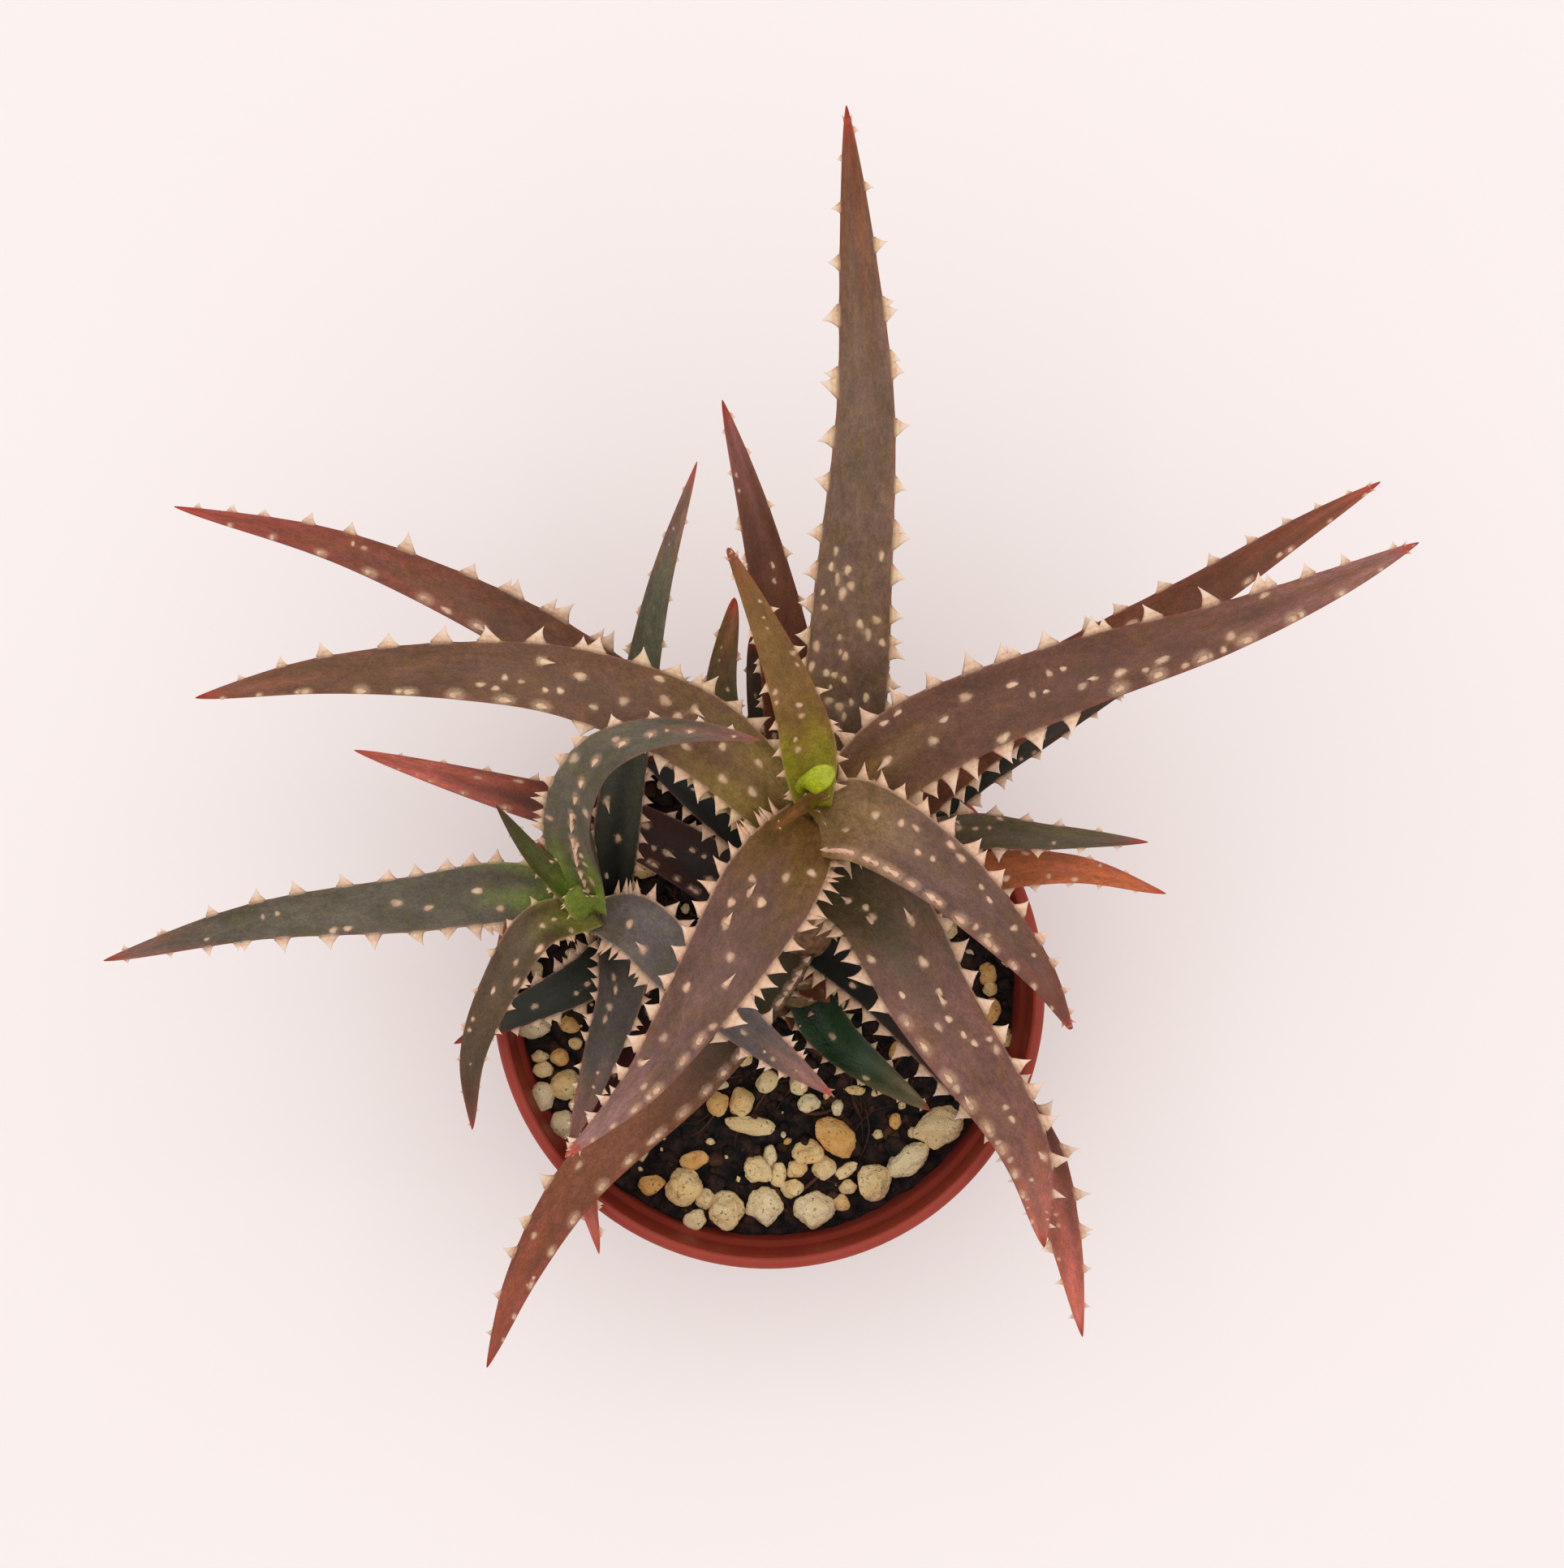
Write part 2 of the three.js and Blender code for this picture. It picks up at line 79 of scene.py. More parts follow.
# Soil
SOIL_LEVEL = 72.5
SOIL_SLOPE = 0.055
SOIL_WAVE = 0.5
SOIL_SIDES = 240
SOIL_RINGS = 70
SOIL_EDGE_GAP = 0.1
SOIL_UNDER_DISC = 2.0
SOIL_TOP_DISC = 0.5
SOIL_LUMP = 1.5
SOIL_LUMP_SIZE = 7.0
SOIL_CLOD = 0.9
SOIL_CLOD_SIZE = 3.2
SOIL_SEED = 5

# What lies in and on the soil, with sizes as half lengths. Grains beyond each of FINER_GRAINS get
# finer faces.
CRUMBS = 900
CRUMB_SIZE = (0.5, 2.3)
CRUMB_ROUGHNESS = 0.25
PERLITE = 70
PERLITE_SIZE = (0.25, 0.6)
PERLITE_ROUGHNESS = 0.2
GRAIN_ROUGHNESS = 0.13
GRAIN_SIZE = (1.2, 3.0)
SMALL_GRAIN_SIZE = (0.6, 1.2)
FINER_GRAINS = (1.9, 3.0)
FIBRES = 110
FIBRE_STEPS = 14
FIBRE_SIDES = 6
FIBRE_LENGTH = (5, 14)
FIBRE_THICKNESS = (0.12, 0.55)
FIBRE_BEND = 0.12
FIBRE_KINK = 0.15
FIBRE_TAPER = 0.25

# Stems, each a bowed line whose height grows evenly along it
MAIN_STEM = {
    "foot": (5.5, -8, 59.3),
    "bend": (6, 9, 94.4),
    "top": (8.3, 38.5, 129.5),
    "radius": (6.4, 4.6),
}
OFFSET_STEM = {
    "foot": (-25, 8, 59.3),
    "bend": (-27, 12, 87.9),
    "top": (-33, 18.5, 116.5),
    "radius": (4, 3),
}
STEM_SIDES = 28
STEM_RING_STEP = 0.7
STEM_SCAR = 0.3
STEM_SCAR_STEP = 3.2
STEM_UNEVEN = (0.18, 0.1)
STEM_TOP_COVER = 13
DRY_BASES = 6
DRY_BASE_FIRST = 75
DRY_BASE_STEP = 2.4
DRY_BASE_TURN = math.radians(137.5)
DRY_BASE_START = math.radians(-100)
DRY_BASE_REACH = 8
DRY_BASE_RISE = 5
DRY_BASE_WIDTH = 8.5

# Leaf blades
LEAF_THICKNESS = 0.3
LEAF_CHANNEL = 0.16
LEAF_BASE = 0.62
LEAF_PEAK = 0.24
LEAF_SHOULDER = 1.15
LEAF_TAPER = 0.72
LEAF_LEAN_BACK = 0.35
LEAF_THIN_END = 0.25
LEAF_THINNEST = 0.7
LEAF_EDGE = 0.15
LEAF_EDGE_SHARPNESS = 6
LEAF_BACK_ROUNDING = 0.8
LEAF_STEEPEST = 0.05
LEAF_ROUND_END = 0.3
LEAF_SAMPLES = 400
LEAF_AXIS_REACH = 0.012
LEAF_SIDES = 32
LEAF_RING_STEP = 0.8
LEAF_RING_CROWDING = 1.25
LEAF_END = 0.9985
LEAF_WAVE = 0.12
# Length, strength and slant of each wave that makes the skin uneven
LEAF_WAVES = ((4.1, 1.0, 1.5), (2.3, 0.7, -2.5), (9.0, 0.5, 4.0))
LEAF_WAVE_FADE = 0.6

# Marginal teeth, crowded by the stem. Pairs give the value there and at TOOTH_REACH from it, but
# each SPREAD, HOOK and RISE is a range to draw from. TOOTH_LONGEST is a share of the step.
TEETH_FROM = 4.0
TEETH_FROM_SPREAD = 2
TEETH_TO = 0.975
TOOTH_STEP = 2.4
TOOTH_STEP_GROWTH = 0.09
TOOTH_LAST_STEP = 10.0
TOOTH_HEIGHT = (2.8, 2.7)
TOOTH_LENGTH = (3.4, 4.0)
TOOTH_LONGEST = 0.88
TOOTH_STEP_SPREAD = (0.8, 1.25)
TOOTH_HEIGHT_SPREAD = (0.78, 1.15)
TOOTH_LENGTH_SPREAD = (0.85, 1.1)
TOOTH_THICKNESS = 0.8
TOOTH_REACH = 55.0
TOOTH_ROOT = 1.1
TOOTH_ROOT_SHARE = 0.4
TOOTH_FOOT = 0.98
TOOTH_HOOK = (-1.2, 0.8)
TOOTH_RISE = (-0.1, 0.3)
TOOTH_TILT = 0.7
TOOTH_HOLLOW = (1.3, 1.4)
TOOTH_PALE_FOOT = 0.45
TOOTH_PALE_TIP = (0.85, 1.3)
SMALL_TOOTH = 0.42
FULL_TOOTH_HALF_WIDTH = 3.8
TWIN_SHARE = 0.2
TWIN_SHIFT = 0.5
TWIN_HEIGHT = 0.8
TWIN_LENGTH = 0.7
EDGE_SWELL = 0.1
EDGE_SWELL_LENGTH = 0.45
UPRIGHT_HEIGHT = 0.62
UPRIGHT_LENGTH = 0.6
UPRIGHT_THICKNESS = 1.2
UPRIGHT_ROOT = 0.3
# How an upright tooth leans: out of the skin, away from the middle and back along the leaf
UPRIGHT_LEAN = (0.8, 0.45, 0.3)

# The form of each spike: heights of its rings, the first inside the blade, and the shares of its
# length and thickness that its root and its tip keep
SPIKE_SIDES = 8
SPIKE_RINGS = (-1, 0, 0.12, 0.28, 0.46, 0.66, 0.85, 1)
SPIKE_ROOT = (0.7, 0.2)
SPIKE_TIP = (0.03, 0.06)
SPIKE_HOOK_CURVE = 1.6
SPIKE_FLATNESS = 0.9
SPIKE_SQUARENESS = 0.7
SPIKE_PALE_FROM = 0.5

# Small teeth that fan out round a blunt tip
END_TOOTH_AT = 0.985
END_TOOTH_BACK = 0.012
END_TOOTH_FAN = (-55, 55)
END_TOOTH_SIZE = (1.4, 0.9, 0.5)
END_TOOTH_ROOT = 0.8
END_TOOTH_SINK = 0.15

# Raised pale spots on the blades, some with a prickle
SPOT_FROM = 0.1
SPOT_STEP = 3.6
SPOT_STEP_SPREAD = (0.5, 1.5)
SPOT_LANES = (-0.72, -0.4, -0.15, 0.15, 0.4, 0.72)
SPOT_LANE_SPREAD = 0.12
SPOT_FULL_WIDTH = 9
SPOT_INSIDE = 0.93
SPOT_PAIRS = 0.3
SPOT_PAIR_SIZE = (0.75, 0.85)
SPOT_PAIR_STEP = (2.2, 3.0)
SPOT_LENGTH = (1.8, 3.3)
SPOT_WIDTH = (1.2, 2.1)
SPOT_HEIGHT = 0.22
SPOT_SINK = 0.03
SPOT_RIM = 0.2
SPOT_UNEVEN = 0.1
SPOT_SIDES = 12
SPOT_RINGS = (0.3, 0.52, 0.7, 0.85, 1.0)
SPOT_DOME = 1.5
SPOT_PALE = (0.9, 0.6)
PRICKLE_LENGTH = (1.8, 3.6)
PRICKLE_THICKNESS = (1.5, 1.0)
PRICKLE_ROOM = 0.55
PRICKLE_RISE = 0.5
# How a prickle leans: out of the skin, back along the leaf and up to this far to a side
PRICKLE_LEAN = (0.55, 0.85, 0.3)

# Colours that all skins share
BLUSH_RED = (150, 58, 44)
TIP_RED = (186, 66, 48)
BACK_SHADE = 0.9

# How far paleness spreads into the skin: from the margin in millimetres, and from teeth and spots
# as its strength and its reach in sizes of the tooth or spot
MARGIN_REACH = 0.5
TOOTH_HALO = (0.6, 0.15)
UPRIGHT_HALO = (0.55, 0.38)
TOOTH_HALO_LENGTH = 0.5
SPOT_HALO = (0.3, 0.62)


@dataclass
class Skin:
    """Colours of a blade, as sRGB, and the roughness of its finish.

    The base colour gives way to the middle one at the share `green` of the length, and the tip's
    sets in at the share `redden`. `pale` is the colour of raised spots and teeth.
    """
    slot: str
    base: tuple
    middle: tuple
    tip: tuple
    green: float = 0.3
    redden: float = 0.72
    rough: float = 0.5
    pale: tuple = (230, 196, 164)


SKINS = {
    "brown": Skin("leaf_brown", (136, 112, 56), (110, 76, 51), (146, 88, 64), pale=(228, 200, 160)),
    "umber": Skin("leaf_brown", (90, 76, 48), (113, 86, 64), (122, 68, 36), pale=(222, 196, 152),
                  redden=0.6),
    "rust": Skin("leaf_brown", (56, 46, 26), (110, 62, 36), (146, 80, 52)),
    "clay": Skin("leaf_brown", (64, 52, 28), (120, 73, 44), (158, 78, 52), green=0.5, redden=0.5),
    "ember": Skin("leaf_brown", (18, 20, 11), (108, 62, 44), (210, 110, 88), green=0.75, redden=0.45,
                  pale=(220, 188, 154)),
    "rose": Skin("leaf_brown", (140, 106, 64), (102, 67, 47), (158, 110, 94), redden=0.6),
    "purple": Skin("leaf_purple", (116, 84, 40), (108, 76, 61), (154, 114, 103), green=0.34,
                   redden=0.5, pale=(226, 188, 156)),
    "tan": Skin("leaf_purple", (154, 124, 80), (108, 78, 62), (124, 66, 44), green=0.4,
                redden=0.55, pale=(232, 192, 162)),
    "dusk": Skin("leaf_purple", (80, 70, 40), (122, 82, 67), (190, 106, 82), green=0.5, redden=0.6),
    "olive": Skin("leaf_olive", (134, 128, 34), (146, 108, 56), (146, 92, 52), green=0.5,
                  pale=(230, 204, 150)),
    "shoot": Skin("leaf_olive", (150, 144, 34), (130, 95, 44), (134, 80, 42), green=0.42),
    "moss": Skin("leaf_olive", (142, 140, 66), (86, 66, 42), (118, 66, 42)),
    # The near black base, reaching most of the way up the blade, is partly the leaf's own dark green and
    # partly painted shade where it lies under other leaves
    "red": Skin("leaf_red", (8, 12, 6), (108, 48, 29), (200, 106, 84), green=0.92, redden=0.5,
                pale=(214, 182, 146)),
    "maroon": Skin("leaf_red", (48, 34, 20), (98, 54, 31), (136, 80, 68), green=0.4),
    "russet": Skin("leaf_red", (80, 66, 38), (104, 70, 44), (156, 76, 58), redden=0.5),
    # Very dark: partly the leaves' own dark green and partly painted shade where they lie low among other
    # leaves
    "green": Skin("leaf_green", (22, 26, 14), (40, 42, 28), (92, 68, 50), redden=0.6,
                  pale=(208, 178, 148)),
    "sage": Skin("leaf_green", (40, 44, 28), (92, 80, 54), (118, 84, 68), redden=0.8),
    "grey_green": Skin("leaf_grey_green", (120, 136, 54), (94, 86, 66), (142, 94, 78), green=0.26),
    "grey": Skin("leaf_grey_green", (118, 108, 96), (98, 87, 79), (164, 112, 95), redden=0.6),
    "orange": Skin("leaf_orange", (40, 30, 14), (140, 74, 18), (204, 108, 68), redden=0.4),
    # Painted shade: a blade near black from base to tip, for a leaf that lies in deep shade among the
    # others
    "murk": Skin("leaf_green", (14, 16, 10), (22, 22, 14), (30, 26, 18), pale=(196, 166, 136)),
    # Painted shade: the lower part of this blade is near black, where it lies in shade between other
    # leaves
    "shaded": Skin("leaf_grey_green", (13, 15, 10), (90, 88, 64), (142, 94, 78), green=0.6,
                   pale=(206, 178, 150)),
    "slate": Skin("leaf_grey_green", (60, 58, 44), (80, 70, 60), (146, 100, 82), redden=0.5),
    "faded": Skin("leaf_olive", (60, 66, 34), (106, 94, 58), (142, 90, 56), green=0.5, redden=0.7),
    "fresh": Skin("leaf_bright_green", (112, 138, 44), (74, 75, 28), (78, 60, 36), green=0.5,
                  redden=0.6),
    "heart": Skin("leaf_bright_green", (128, 146, 50), (122, 138, 48), (112, 128, 50)),
    "deep_green": Skin("leaf_bright_green", (12, 28, 8), (20, 54, 12), (118, 102, 66),
                       redden=0.5, rough=0.3, pale=(176, 168, 120)),
    "bud": Skin("leaf_bright_green", (128, 150, 24), (166, 180, 28), (170, 180, 48), rough=0.25),
    "dry": Skin("stem", (98, 58, 36), (120, 72, 46), (150, 100, 68), rough=0.8),
}


@dataclass
class Leaf:
    """A leaf leaves its stem at height `at` and runs through the points of `path` to its tip.

    `width` is its greatest width, reached at the share `peak` of its length; `taper` says how soon
    it narrows and `blunt` how wide its tip stays. `thickness` and the depth `fold` of its channel
    are shares of its width, and `face` is where its upper face looks.
    `spots` scales how many spots it has, up to the share `spots_to` of its length, and the share
    `prickles` of them carry a prickle. `tooth` and `spacing` scale the teeth, and `end_teeth` counts
    those round its tip. `blush` reddens it, `red_tip` its tip, and `margin` makes its edges pale.
    On the side `ridge`, 1 for right and -1 for left, the edge rolls over beyond the share
    `ridge_from` of the length: its teeth stand up, at the share `ridge_at` of the half width.
    """
    name: str
    at: float
    width: float
    skin: str
    path: tuple
    face: tuple = None
    peak: float = LEAF_PEAK
    taper: float = LEAF_TAPER
    blunt: float = 0.0
    spots: float = 1.0
    spots_to: float = 0.85
    prickles: float = 0.05
    blush: float = 0.0
    margin: float = 0.25
    end_teeth: int = 0
    red_tip: float = 0.75
    tooth: float = 1.0
    spacing: float = 1.0
    ridge: int = 0
    ridge_from: float = 0.0
    ridge_at: float = 0.78
    fold: float = LEAF_CHANNEL
    thickness: float = LEAF_THICKNESS


MAIN_LEAVES = [
    Leaf("leaf_young_upright", 126, 9.6, "shoot",
         ((6.5, 48, 138), (3, 58, 150), (-2, 69, 161), (-6, 77, 168)),
         taper=0.82, spots=0.6, end_teeth=4, blunt=0.04, tooth=0.65, spacing=2.0, margin=0.2,
         red_tip=0.15),
    Leaf("leaf_front_left_wide", 123, 16.4, "purple",
         ((-1, 20, 135), (-11, 4, 139), (-21, -11, 136), (-35, -25, 128)),
         taper=1.08, blunt=0.05, prickles=0.3, margin=0.35, end_teeth=5, tooth=1.05, spacing=0.78,
         ridge=-1, ridge_from=0.52, ridge_at=0.72),
    Leaf("leaf_front_right_wide", 122, 14.5, "tan",
         ((16, 33, 131), (28, 26, 137), (37, 18, 136), (47, 7, 128), (54, -4, 116)),
         peak=0.15, taper=0.9, blunt=0.03, spots=0.8, spots_to=0.75, margin=0.4, end_teeth=4,
         ridge=1),
    Leaf("leaf_left_long", 119, 14, "brown",
         ((-13, 49, 133), (-34, 57, 137), (-53, 59, 136), (-77, 58.5, 129), (-102, 55, 116)),
         spots=1.3, spots_to=0.55, spacing=1.1, ridge=-1, ridge_from=0.45, ridge_at=0.84),
    Leaf("leaf_right_long", 115, 15, "rose",
         ((23, 45, 127), (49, 57, 136), (77, 66, 137), (97, 74, 132), (114, 82, 124)),
         spots_to=0.75, blush=0.05, tooth=1.25, end_teeth=3, ridge=1, ridge_from=0.5),
    Leaf("leaf_front_right_long", 111, 16, "dusk",
         ((19, 18, 120), (29, 1, 125), (45, -24, 118), (51, -46, 98)),
         spots=1.2, spots_to=0.9, prickles=0.3, margin=0.35, tooth=1.12, spacing=0.9, ridge=1,
         ridge_from=0.36),
    Leaf("leaf_back_long", 109, 15.2, "umber",
         ((13, 52, 118), (15, 77, 130), (16.7, 104, 137), (15.3, 130, 138), (13.5, 156, 134)),
         spots=2.5, spots_to=0.45, tooth=0.95, end_teeth=2),
    Leaf("leaf_left_short", 112, 9.5, "olive",
         ((-6, 39, 121), (-17, 46, 125), (-27.5, 49, 126)), spots=2.2, red_tip=0.2,
         tooth=0.75, margin=0.35, spacing=1.1),
    # Its skin is painted shade, near black all along
    Leaf("leaf_left_hidden", 105, 9, "murk",
         ((-3, 30, 110), (-14, 38, 114), (-23, 45, 114)), spots=0.4, margin=0.35),
    Leaf("leaf_left_far", 100, 12.5, "russet",
         ((-8, 41, 104), (-31, 59, 109), (-45, 68, 112), (-76, 82, 109), (-110, 91, 98)),
         spots=0.2, blush=0.1, tooth=1.2, ridge=-1, ridge_at=0.72),
    Leaf("leaf_back_purple", 103, 12.5, "maroon",
         ((5, 49, 109), (3, 64, 116), (-2, 86, 124), (-8, 107, 124)), spots=0.5, tooth=0.6),
    Leaf("leaf_right_back", 104, 14, "rust",
         ((27, 41, 109), (51, 58, 116), (76, 73, 121), (93, 84, 123), (108, 93, 121)),
         spots=0.4, tooth=0.8, spacing=0.8, end_teeth=2, ridge=1, ridge_from=0.5),
    Leaf("leaf_back_small", 93, 9.5, "faded",
         ((-2, 35, 96.5), (-8.5, 54, 106), (-6, 73, 114)), taper=0.5, tooth=0.6, spacing=1.3),
    Leaf("leaf_back_tiny", 98, 4.5, "green", ((15, 41, 103), (22, 61, 109)), spots=0.3),
    Leaf("leaf_back_small_dark", 89, 9.5, "green", ((3, 35, 93), (-1, 53, 98), (-3, 67, 102)),
         taper=0.5, tooth=0.6, spacing=1.3),
    Leaf("leaf_right_dark", 94, 9.5, "green",
         ((33, 38, 97), (52, 50, 101), (70, 60, 99)), spots=0.6, margin=0.35, tooth=0.9),
    Leaf("leaf_front_left_low", 94, 12.5, "clay",
         ((1, 5, 97), (-14.5, -13, 101), (-35, -34, 97), (-46, -52, 88), (-55, -74, 72)),
         blush=0.15, spots=0.4, ridge=-1),
    Leaf("leaf_front_right_low", 93, 12, "ember",
         ((22, 2, 98), (36, -12, 102), (49, -27, 100), (55, -43, 91), (61, -68, 72)), spots=0.7),
    Leaf("leaf_left_low_red", 92, 11.5, "red",
         ((-12, 24, 93), (-29, 33, 96), (-46, 37.5, 99), (-77, 46, 96)), spots=0.9, tooth=0.6,
         ridge=-1),
    Leaf("leaf_right_green", 90, 9.5, "sage", ((33, 30, 97), (52, 30, 102), (70, 29, 100)),
         spots=0.8),
    Leaf("leaf_right_orange", 84, 10.5, "orange", ((36, 22, 92), (56, 24, 95), (75, 19, 88)),
         spots=0.8, tooth=0.6),
    Leaf("leaf_front_low_green", 78, 9.5, "deep_green",
         ((12, -8, 80), (20, -15, 82), (31, -23, 79)), spots=0.5, tooth=0.5, margin=0.15),
    Leaf("leaf_centre_folded", 125, 4.4, "shoot", ((6, 36, 136), (1, 32, 142)),
         fold=0.7, thickness=0.16, spots=0.0, tooth=0.35, spacing=2.5, blush=0.1, red_tip=0.1),
    Leaf("leaf_centre_bud", 130, 5.4, "bud", ((6.4, 38.8, 136), (8.2, 40.2, 140), (11, 42.2, 142.6)),
         blunt=0.9, fold=0.0, thickness=0.85, spots=0.0, tooth=0.0, margin=0.0, red_tip=0.0),
]
OFFSET_LEAVES = [
    Leaf("offset_leaf_curled", 110, 11, "grey_green",
         ((-34, 28, 122), (-33, 37, 136), (-28, 44.5, 144), (-20, 48, 147), (-11, 48.5, 147),
          (-1, 47, 144)), face=(-0.5, -0.3, 1), tooth=0.85, spots=0.8, red_tip=0.2,
         ridge=1, ridge_at=0.05, spacing=0.9),
    Leaf("offset_leaf_crossing", 104, 11, "grey",
         ((-23, 14, 112), (-15, 6, 112), (-2, -6, 108), (12, -18, 98)),
         spots=0.6, prickles=0.6, margin=0.35, end_teeth=3, tooth=0.9, spacing=0.85),
    Leaf("offset_leaf_front_green", 106, 8, "moss",
         ((-41, 14, 116), (-48, 3, 118), (-53, -9, 112), (-54.5, -24, 100)), spots=0.7, tooth=0.5,
         spacing=1.3),
    Leaf("offset_leaf_young", 109, 5.2, "fresh", ((-41, 27, 120), (-47, 36, 129)), spots=0.3,
         tooth=0.5, spacing=1.5, red_tip=0.2),
    Leaf("offset_leaf_left_long", 102, 11, "grey_green",
         ((-45, 20, 108), (-65, 18, 112), (-92, 15, 110), (-123, 7, 98)), spots=0.5, spacing=1.15,
         tooth=0.9),
    # Its skin paints shade on the lower part of the blade
    Leaf("offset_leaf_upright", 96, 8.5, "shaded",
         ((-27, 34, 108), (-23, 55, 119), (-18.5, 75, 128), (-12, 95, 134)), spots=0.3, tooth=0.6),
    Leaf("offset_leaf_front_grey", 94, 9, "slate",
         ((-27, 3, 99), (-31, -11, 102), (-37, -28, 96)), spots=0.5, tooth=0.6),
    Leaf("offset_leaf_low_dark", 87, 9, "green",
         ((-32, 5, 91), (-45, -2, 94), (-59, -9, 91)), spots=0.6, margin=0.35, tooth=0.8),
    Leaf("offset_leaf_front_low", 82, 9, "red",
         ((-24, -4, 85), (-29, -19, 92), (-34, -32, 93), (-32, -49, 88)), blush=0.2),
    Leaf("offset_leaf_centre", 108, 6.5, "heart", ((-34, 19.5, 117), (-33, 22, 124)),
         spots=0.0, tooth=0.5, red_tip=0.0),
]

# Tones of pumice, from 0, white, to 1, amber
CHALK, CREAM, SAND, AMBER = 0.05, 0.35, 0.6, 1.0

# Pumice grains that the photograph shows: x, y, half length, half width, turn in degrees, tone
SEEN_GRAINS = [
    (33.2, -26.9, 5.2, 3.4, 30, CREAM), (27.1, -33.3, 4.5, 2.8, 35, CHALK),
    (20.2, -37.6, 3.5, 3.6, 0, CREAM), (8.7, -42.9, 4.2, 3.5, 10, CHALK),
    (12.6, -28.8, 4.8, 3.3, -35, AMBER), (-3.7, -26.6, 4.7, 2.0, -6, CREAM),
    (-1.0, -42.0, 3.5, 3.7, 0, CHALK), (-8.4, -42.8, 3.5, 3.7, 20, CREAM),
    (-16.4, -38.1, 3.6, 3.6, 0, SAND), (-12.5, -40.6, 2.0, 2.1, 0, CREAM),
    (-14.5, -44.7, 2.3, 2.0, 0, CHALK), (-22.7, -37.9, 2.7, 2.1, 0, AMBER),
    (-14.5, -33.3, 2.9, 1.8, 20, AMBER), (-10.0, -22.3, 2.3, 2.4, 0, AMBER),
    (-5.4, -21.9, 2.5, 2.9, 0, SAND), (-0.4, -18.1, 2.6, 1.9, 45, CREAM),
    (-9.8, -18.6, 1.9, 1.1, 0, CHALK), (7.5, -22.3, 2.3, 1.9, 0, CHALK),
    (13.3, -23.3, 1.3, 1.6, 0, CHALK), (7.5, -31.8, 3.1, 2.4, 0, SAND),
    (10.8, -35.1, 2.3, 2.5, 0, CREAM), (5.4, -35.2, 2.0, 1.9, 0, SAND),
    (4.6, -39.0, 2.2, 1.9, 0, CREAM), (-2.4, -35.2, 3.1, 2.5, -35, CREAM),
    (1.8, -36.2, 1.8, 2.5, 0, CREAM), (0.1, -32.7, 1.3, 2.4, 0, CHALK),
    (15.1, -35.5, 2.5, 1.3, 30, CREAM), (15.3, -38.7, 1.8, 1.5, 0, CREAM),
    (14.0, -41.7, 1.9, 1.7, 0, SAND), (24.6, -26.0, 1.2, 1.6, 0, AMBER),
    (27.9, -28.2, 0.9, 1.1, 0, CREAM), (24.9, -12.1, 1.5, 2.0, -30, AMBER),
    (27.0, -12.3, 1.0, 1.1, 0, SAND), (37.8, -20.0, 2.0, 2.8, 0, SAND),
    (43.4, -4.6, 1.9, 2.5, 0, AMBER), (42.5, 2.6, 1.8, 2.4, 0, AMBER),
    (43.1, -0.1, 1.5, 1.7, 0, SAND), (46.4, 5.3, 1.1, 1.5, 0, CREAM),
    (37.8, 13.8, 1.7, 1.4, 0, SAND), (34.6, 12.0, 2.4, 2.4, 0, CREAM),
    (38.6, 12.4, 1.5, 1.3, 0, CREAM), (45.3, -9.5, 2.7, 2.1, 0, SAND),
    (45.3, 8.1, 1.2, 1.4, 0, CREAM), (16.6, -20.0, 2.1, 1.0, 0, SAND),
    (5.6, -18.8, 1.8, 2.1, 0, CREAM), (-4.8, -12.8, 1.9, 2.4, 0, CREAM),
    (-17.7, -30.0, 0.6, 0.8, 0, CHALK), (-11.4, -29.7, 1.0, 0.7, 0, CREAM),
    (-24.7, -31.4, 1.4, 2.1, 0, CREAM), (-45.0, -7.5, 3.4, 2.1, 12, CHALK),
    (-38.7, -6.8, 2.3, 1.8, 0, AMBER), (-44.4, -13.0, 1.8, 1.2, 0, CREAM),
    (-43.6, -15.4, 2.1, 1.6, 0, CREAM), (-40.6, -13.2, 1.9, 1.8, 0, AMBER),
    (-39.4, -18.3, 2.9, 3.1, 20, SAND), (-43.6, -20.6, 2.3, 3.0, 15, CHALK),
    (-39.8, -26.0, 2.4, 2.9, 0, CHALK), (-40.8, 11.6, 2.6, 2.2, 0, SAND),
    (-46.6, 7.3, 1.9, 2.1, 0, CREAM), (-44.9, 3.4, 1.2, 1.9, 0, CREAM),
    (-37.5, -10.5, 1.4, 1.2, 0, SAND), (-37.4, -22.3, 1.3, 1.5, 0, CREAM),
]
MORE_GRAINS = 130
MORE_GRAINS_TONES = (CHALK, CREAM, CREAM, SAND, AMBER)
MORE_GRAINS_TRIES = 4000
GRAIN_SEED = 11
# Nearer than this y and right of this x the photograph shows the soil, so only small grains join
SEEN_SOIL = (22, -32)

# Noises of the leaf skin: cycles per millimetre along and across the blade, detail and roughness
SKIN_NOISES = {
    "patches": ((0.10, 0.17, 1), 3, 0.5),
    "mottle": ((0.55, 0.8, 1), 5, 0.65),
    "streaks": ((0.14, 1.1, 1), 3, 0.5),
    "speckle": ((2.0, 2.2, 1), 3, 0.6),
    "bloom": ((0.2, 0.26, 1), 4, 0.6),
}
